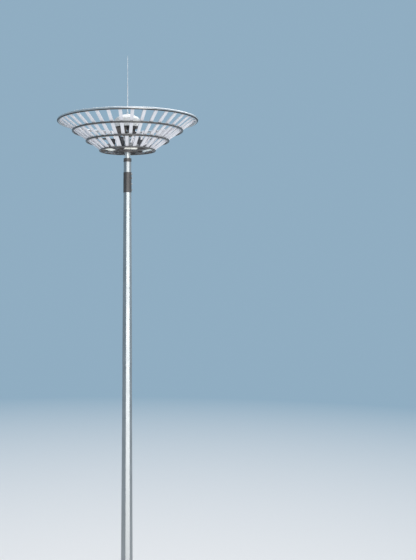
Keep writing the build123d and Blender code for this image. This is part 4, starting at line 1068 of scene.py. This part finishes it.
# Conduit from each floodlight to the cabinet beside it, with a gland at each end and clips on the deck
conduit = {"radius": 0.008, "ripple": 0.0007, "pitch": 0.0045, "lampTurn": -36.0, "entryX": 0.600,
           "entryZ": 0.034, "glandSpot": (-0.189, 0, 0.110), "glandAxis": (-0.774, 0, 0.633),
           "clipTurns": (-23.2, -18.8), "clipR": 0.5825, "clipHalf": 0.007, "clipThick": 0.0014,
           "clipReach": 0.022, "clipPlay": 0.0012, "archZ": 0.0088, "screwY": 0.0165,
           "stops": ((0.590, -33.4, 28.782), (0.578, -29.5, 28.752), (0.580, -25.5, 28.7335),
                     (0.583, -21, 28.7318), (0.590, -17, 28.7325))}
gland = joinShapes([
    hexHead(0.022, 0.007),
    lathe([(0, 0.007), (0.0098, 0.007), (0.0098, 0.009), (0.0112, 0.0095), (0.0112, 0.019), (0.0102, 0.023),
           (0.0092, 0.0245), (0, 0.0245)], 20),
])
glandSpot = lampSpot + lampFrame @ conduit["glandSpot"]
glandAxis = lampFrame @ conduit["glandAxis"]
lampSide = turnBy(90 + conduit["lampTurn"])[0]
cabinetEntry = np.array([conduit["entryX"], -cabinet["wide"] / 2, crown["deckTop"] + conduit["entryZ"]])
glands = [
    copyShape(gland, lampSide @ aimed(glandAxis), lampSide @ (glandSpot - glandAxis * 0.002)),
    copyShape(gland, aimed((0, -1, 0)), cabinetEntry),
]
makePiece("cableGlands", glands, "conduit", "crown", sharp=30, turns=cabinet["turns"])


def polar(r, degrees, z):
    # a place by its distance from an upright axis and its angle round it
    return [r * cos(radians(degrees)), r * sin(radians(degrees)), z]


route = smoothPath([
    lampSide @ (glandSpot + glandAxis * 0.018), lampSide @ (glandSpot + glandAxis * 0.042),
    *[polar(*stop) for stop in conduit["stops"]],
    cabinetEntry + [0, -0.045, -0.012], cabinetEntry + [0, -0.014, 0],
], 44)
swell = conduit["radius"] + conduit["ripple"] * np.cos(2 * pi * runLength(route) / conduit["pitch"])
makePiece("conduits", tubeAlong(route, swell, 12), "conduit", "crown", sharp=60, turns=cabinet["turns"])

arch = np.linspace(0, pi, 13)
reach, thick = conduit["clipReach"], conduit["clipThick"]
clipIn = conduit["radius"] + conduit["clipPlay"]
clipOut = clipIn + thick
outside, inside = (columns(r * np.cos(arch), conduit["archZ"] + r * np.sin(arch)) for r in (clipOut, clipIn))
clipLine = np.vstack([
    [(reach, 0), (reach, thick), (clipOut, thick)], outside,
    [(-clipOut, thick), (-reach, thick), (-reach, 0), (-clipIn, 0)], inside[::-1], [(clipIn, 0)],
])
stations = [-conduit["clipHalf"], conduit["clipHalf"]]
clip = plank(clipLine, stations, (1, 0, 0), (0, -1, 0), (0, 0, 1), (conduit["clipR"], 0, crown["deckTop"]))
clipScrew = lathe([(0, 0), (0.0042, 0), (0.0036, 0.002), (0, 0.0028)], 10)
clips = []
for degrees in conduit["clipTurns"]:
    spin = turnBy(90 + degrees)[0]
    clips.append(copyShape(clip, spin))
    for side in (-1, 1):
        seat = np.array([conduit["clipR"] + side * conduit["screwY"], 0, crown["deckTop"] + thick])
        clips.append(copyShape(clipScrew, spin, spin @ seat))
makePiece("conduitClips", clips, "galvanised", "crown", sharp=35, turns=cabinet["turns"])
print("conduits made")


# Deck fittings: bolts along the spokes, tyres and nuts of the guide rollers, post feet, rope ends
deck = {"rs": (0.74, 0.86, 0.98, 1.10), "side": 0.016, "nut": (0.013, 0.008, 0.009, 0.0016)}
deckBolts = []
for r in deck["rs"]:
    for side in (-deck["side"], deck["side"]):
        deckBolts.append(boltAt(smallBolt, [r, side, crown["deckTop"]]))
        deckBolts.append(boltAt(deck["nut"], [r, side, crown["deckUnder"]], (0, 0, -1)))
makePiece("deckBolts", deckBolts, "galvanised", "crown", turns=cabinet["turns"])

roller = {"turns": evenTurns(47, 4), "spot": [0.370, 0, 28.775], "hub": 0.019, "bore": 0.0083,
          "fork": 0.035, "nut": (0.024, 0.010, 0.016, 0.0025)}
tread = np.array([
    (0.0315, 0.0), (0.0320, 0.0018), (0.0320, 0.0055), (0.0304, 0.0062), (0.0304, 0.0082), (0.0319, 0.0090),
    (0.0316, 0.0130), (0.0300, 0.0140), (0.0300, 0.0158), (0.0311, 0.0168), (0.0295, 0.0205),
    (0.0265, 0.0232), (0.0205, 0.0236), (roller["hub"], 0.0232),
])
hubHalf = np.array([
    (roller["hub"] - 0.0002, 0.0215), (0.0165, 0.0222), (0.0150, 0.0200), (0.0125, 0.0200), (0.0115, 0.0238),
    (roller["bore"], 0.0238),
])
tyreLine = np.vstack([(tread * [1, -1])[::-1], tread[1:]])
hubLine = np.vstack([(hubHalf * [1, -1])[::-1], hubHalf])
tyre, hub = (
    copyShape(latheRing(line, steps), aimed((0, 1, 0)), roller["spot"])
    for line, steps in ((tyreLine, 48), (hubLine, 32))
)
makePiece("guideTyres", tyre, "rubber", "crown", "guide_rollers", sharp=35, turns=roller["turns"])
rollerNuts = [
    boltAt(roller["nut"], np.array(roller["spot"]) + [0, side * roller["fork"], 0], (0, side, 0))
    for side in (-1, 1)
]
makePiece("guideHubs", [hub] + rollerNuts, "galvanised", "crown", sharp=35, turns=roller["turns"])

post = {"turns": evenTurns(98, 3), "top": 28.735, "circle": 0.0345, "bolt": (0.013, 0.007, 0.0085, 0.0016)}
postBolts = [
    boltAt(post["bolt"], np.array([crown["ropeR"], 0, 0]) + polar(post["circle"], degrees, post["top"]))
    for degrees in (0, 90, 180, 270)
]
makePiece("postBolts", postBolts, "galvanised", "crown", turns=post["turns"])

rope = {"turns": evenTurns(26, 3), "radius": 0.006, "strand": 0.0021, "lay": 0.045, "low": 28.927,
        "high": 29.671, "sheave": 0.2, "tail": 29.25}
ropeEnd = {"tube": 0.0138, "zs": (28.848, 28.880, 28.912), "pinZ": 28.777, "pinY": 0.0182}
ferrule = latheRing([
    (ropeEnd["tube"], -0.007), (0.0152, -0.007), (0.0162, -0.0055), (0.0162, 0.0055), (0.0152, 0.007),
    (ropeEnd["tube"], 0.007),
], 28)
pinHead = lathe([(0, 0), (0.0118, 0), (0.0118, 0.0026), (0.0108, 0.0036), (0, 0.0036)], 20)
ropeEnds = [moved(ferrule, [[crown["ropeR"], 0, z] for z in ropeEnd["zs"]])]
for side in (1, -1):
    seat = [crown["ropeR"], side * ropeEnd["pinY"], ropeEnd["pinZ"]]
    ropeEnds.append(copyShape(pinHead, aimed((0, side, 0)), seat))
makePiece("ropeFerrules", ropeEnds, "galvanised", "crown", sharp=35, turns=rope["turns"])
print("deck fittings made")


# Hoist ropes: six strands laid round a core; the hanging part stretches between head and crown

def laidRope(path, side, up):
    # six circles of the strand's size wound round the path once in each lay, and a core along it
    run, out = runLength(path), rope["radius"] - rope["strand"]
    parts = [tubeAlong(path, rope["strand"] * 1.2, 6)]
    for k in range(6):
        a = (run / rope["lay"] + k / 6) * 2 * pi
        wound = path + out * (np.cos(a)[:, None] * side + np.sin(a)[:, None] * up)
        parts.append(tubeAlong(wound, rope["strand"], 6))
    return joinShapes(parts)


z = np.linspace(rope["low"], rope["high"], 150)
strands = laidRope(columns(crown["ropeR"], 0, z), np.array([1.0, 0, 0]), np.array([0, 1.0, 0]))
ropesHanging = makePiece("ropesHanging", strands, "ropeWire", None, "hoist_ropes", 60, rope["turns"])
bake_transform(ropesHanging)

# over the sheave by half a circle, then down inside the neck
a = np.linspace(0, pi, 130)
centre, sheave = crown["ropeR"] - rope["sheave"], rope["sheave"]
bend = columns(centre + sheave * np.cos(a), 0, rope["high"] + sheave * np.sin(a))
z = np.linspace(rope["high"], rope["tail"], 86)[1:]
drop = columns(crown["ropeR"] - 2 * sheave, 0, z)
sides = np.vstack([columns(np.cos(a), 0, np.sin(a)), columns(-1.0, 0, 0 * z)])
over = laidRope(np.vstack([bend, drop]), sides, np.array([0, 1.0, 0]))
makePiece("ropesOver", over, "ropeWire", "mast", "rope_arcs", sharp=60, turns=rope["turns"])
print("ropes made")


# Stage: a wide pale floor that fades into the backdrop, and soft studio light
stageLook = {"tone": (0.87, 0.875, 0.88), "backdrop": (0.28, 0.42, 0.54), "fadeFrom": 25.0, "fadeTo": 110.0,
             "radii": (0.001, 2, 8, 30, 80, 200, 900), "z": -0.002}
backdrop = (*stageLook["backdrop"], 1)
floorFinish, tree, shader = newFinish("studioFloor")
shader.inputs["Base Color"].default_value = (*stageLook["tone"], 1)
shader.inputs["Roughness"].default_value = 0.9
place = addNode(tree, "TexCoord").outputs["Object"]
away = addNode(tree, "VectorMath", {0: place}, operation="LENGTH").outputs["Value"]
fade = spread(tree, away, 0, 1, stageLook["fadeFrom"], stageLook["fadeTo"])
glow = addNode(tree, "Emission", {"Color": backdrop, "Strength": 1.0}).outputs[0]
blend = addNode(tree, "MixShader", {0: fade, 1: shader.outputs[0], 2: glow}).outputs[0]
tree.links.new(blend, tree.nodes["Material Output"].inputs["Surface"])
floorRings = turned([(r, stageLook["z"]) for r in stageLook["radii"]], 96)
floorShape = (floorRings.reshape(-1, 3), [gridFaces(*floorRings.shape[:2], flip=False)])
studioFloor = addMesh("studioFloor", floorShape, floorFinish, 40)
studioFloor.data.shade_flat()
studioFloor.visible_shadow = False  # the low key lamp shines through it, right down to the foot

# the camera, mirror-like faces and the glass see the backdrop; all else is lit by a softer sky
world = bpy.data.worlds.new("studio")
bpy.context.scene.world = world
world.use_nodes = True
tree = world.node_tree
seen = tree.nodes["Background"]
seen.inputs["Color"].default_value = backdrop
seen.inputs["Strength"].default_value = 1.0
soft = addNode(tree, "Background", {"Color": (0.9, 0.95, 1.0, 1), "Strength": 0.28}).outputs[0]
rays = addNode(tree, "LightPath").outputs
either = addNode(tree, "Math", {0: rays["Is Camera Ray"], 1: rays["Is Glossy Ray"]}, operation="MAXIMUM")
glassToo = addNode(tree, "Math", {0: either.outputs[0], 1: rays["Is Transmission Ray"]}, operation="MAXIMUM")
blend = addNode(tree, "MixShader", {0: glassToo.outputs[0], 1: soft, 2: seen.outputs[0]}).outputs[0]
tree.links.new(blend, tree.nodes["World Output"].inputs["Surface"])

lamps = [
    {"name": "key", "turn": 10, "height": -2, "strength": 1.52, "spread": 22, "tone": (1.0, 0.985, 0.96)},
    {"name": "fill", "turn": 98, "height": 15, "strength": 0.35, "spread": 50, "tone": (0.96, 0.98, 1.0)},
    {"name": "top", "turn": 145, "height": 60, "strength": 2.3, "spread": 60, "tone": (0.97, 0.98, 1.0)},
]
for lamp in lamps:
    sun = bpy.data.objects.new(lamp["name"], bpy.data.lights.new(lamp["name"], "SUN"))
    sun.data.energy = lamp["strength"]
    sun.data.angle = radians(lamp["spread"])
    sun.data.color = lamp["tone"]
    sun.rotation_euler = (radians(90 - lamp["height"]), 0, radians(lamp["turn"]))
    sun.location = (0, 0, 45)
    bpy.context.scene.collection.objects.link(sun)
bpy.context.scene.view_settings.view_transform = "Standard"
print("stage and lamps set")
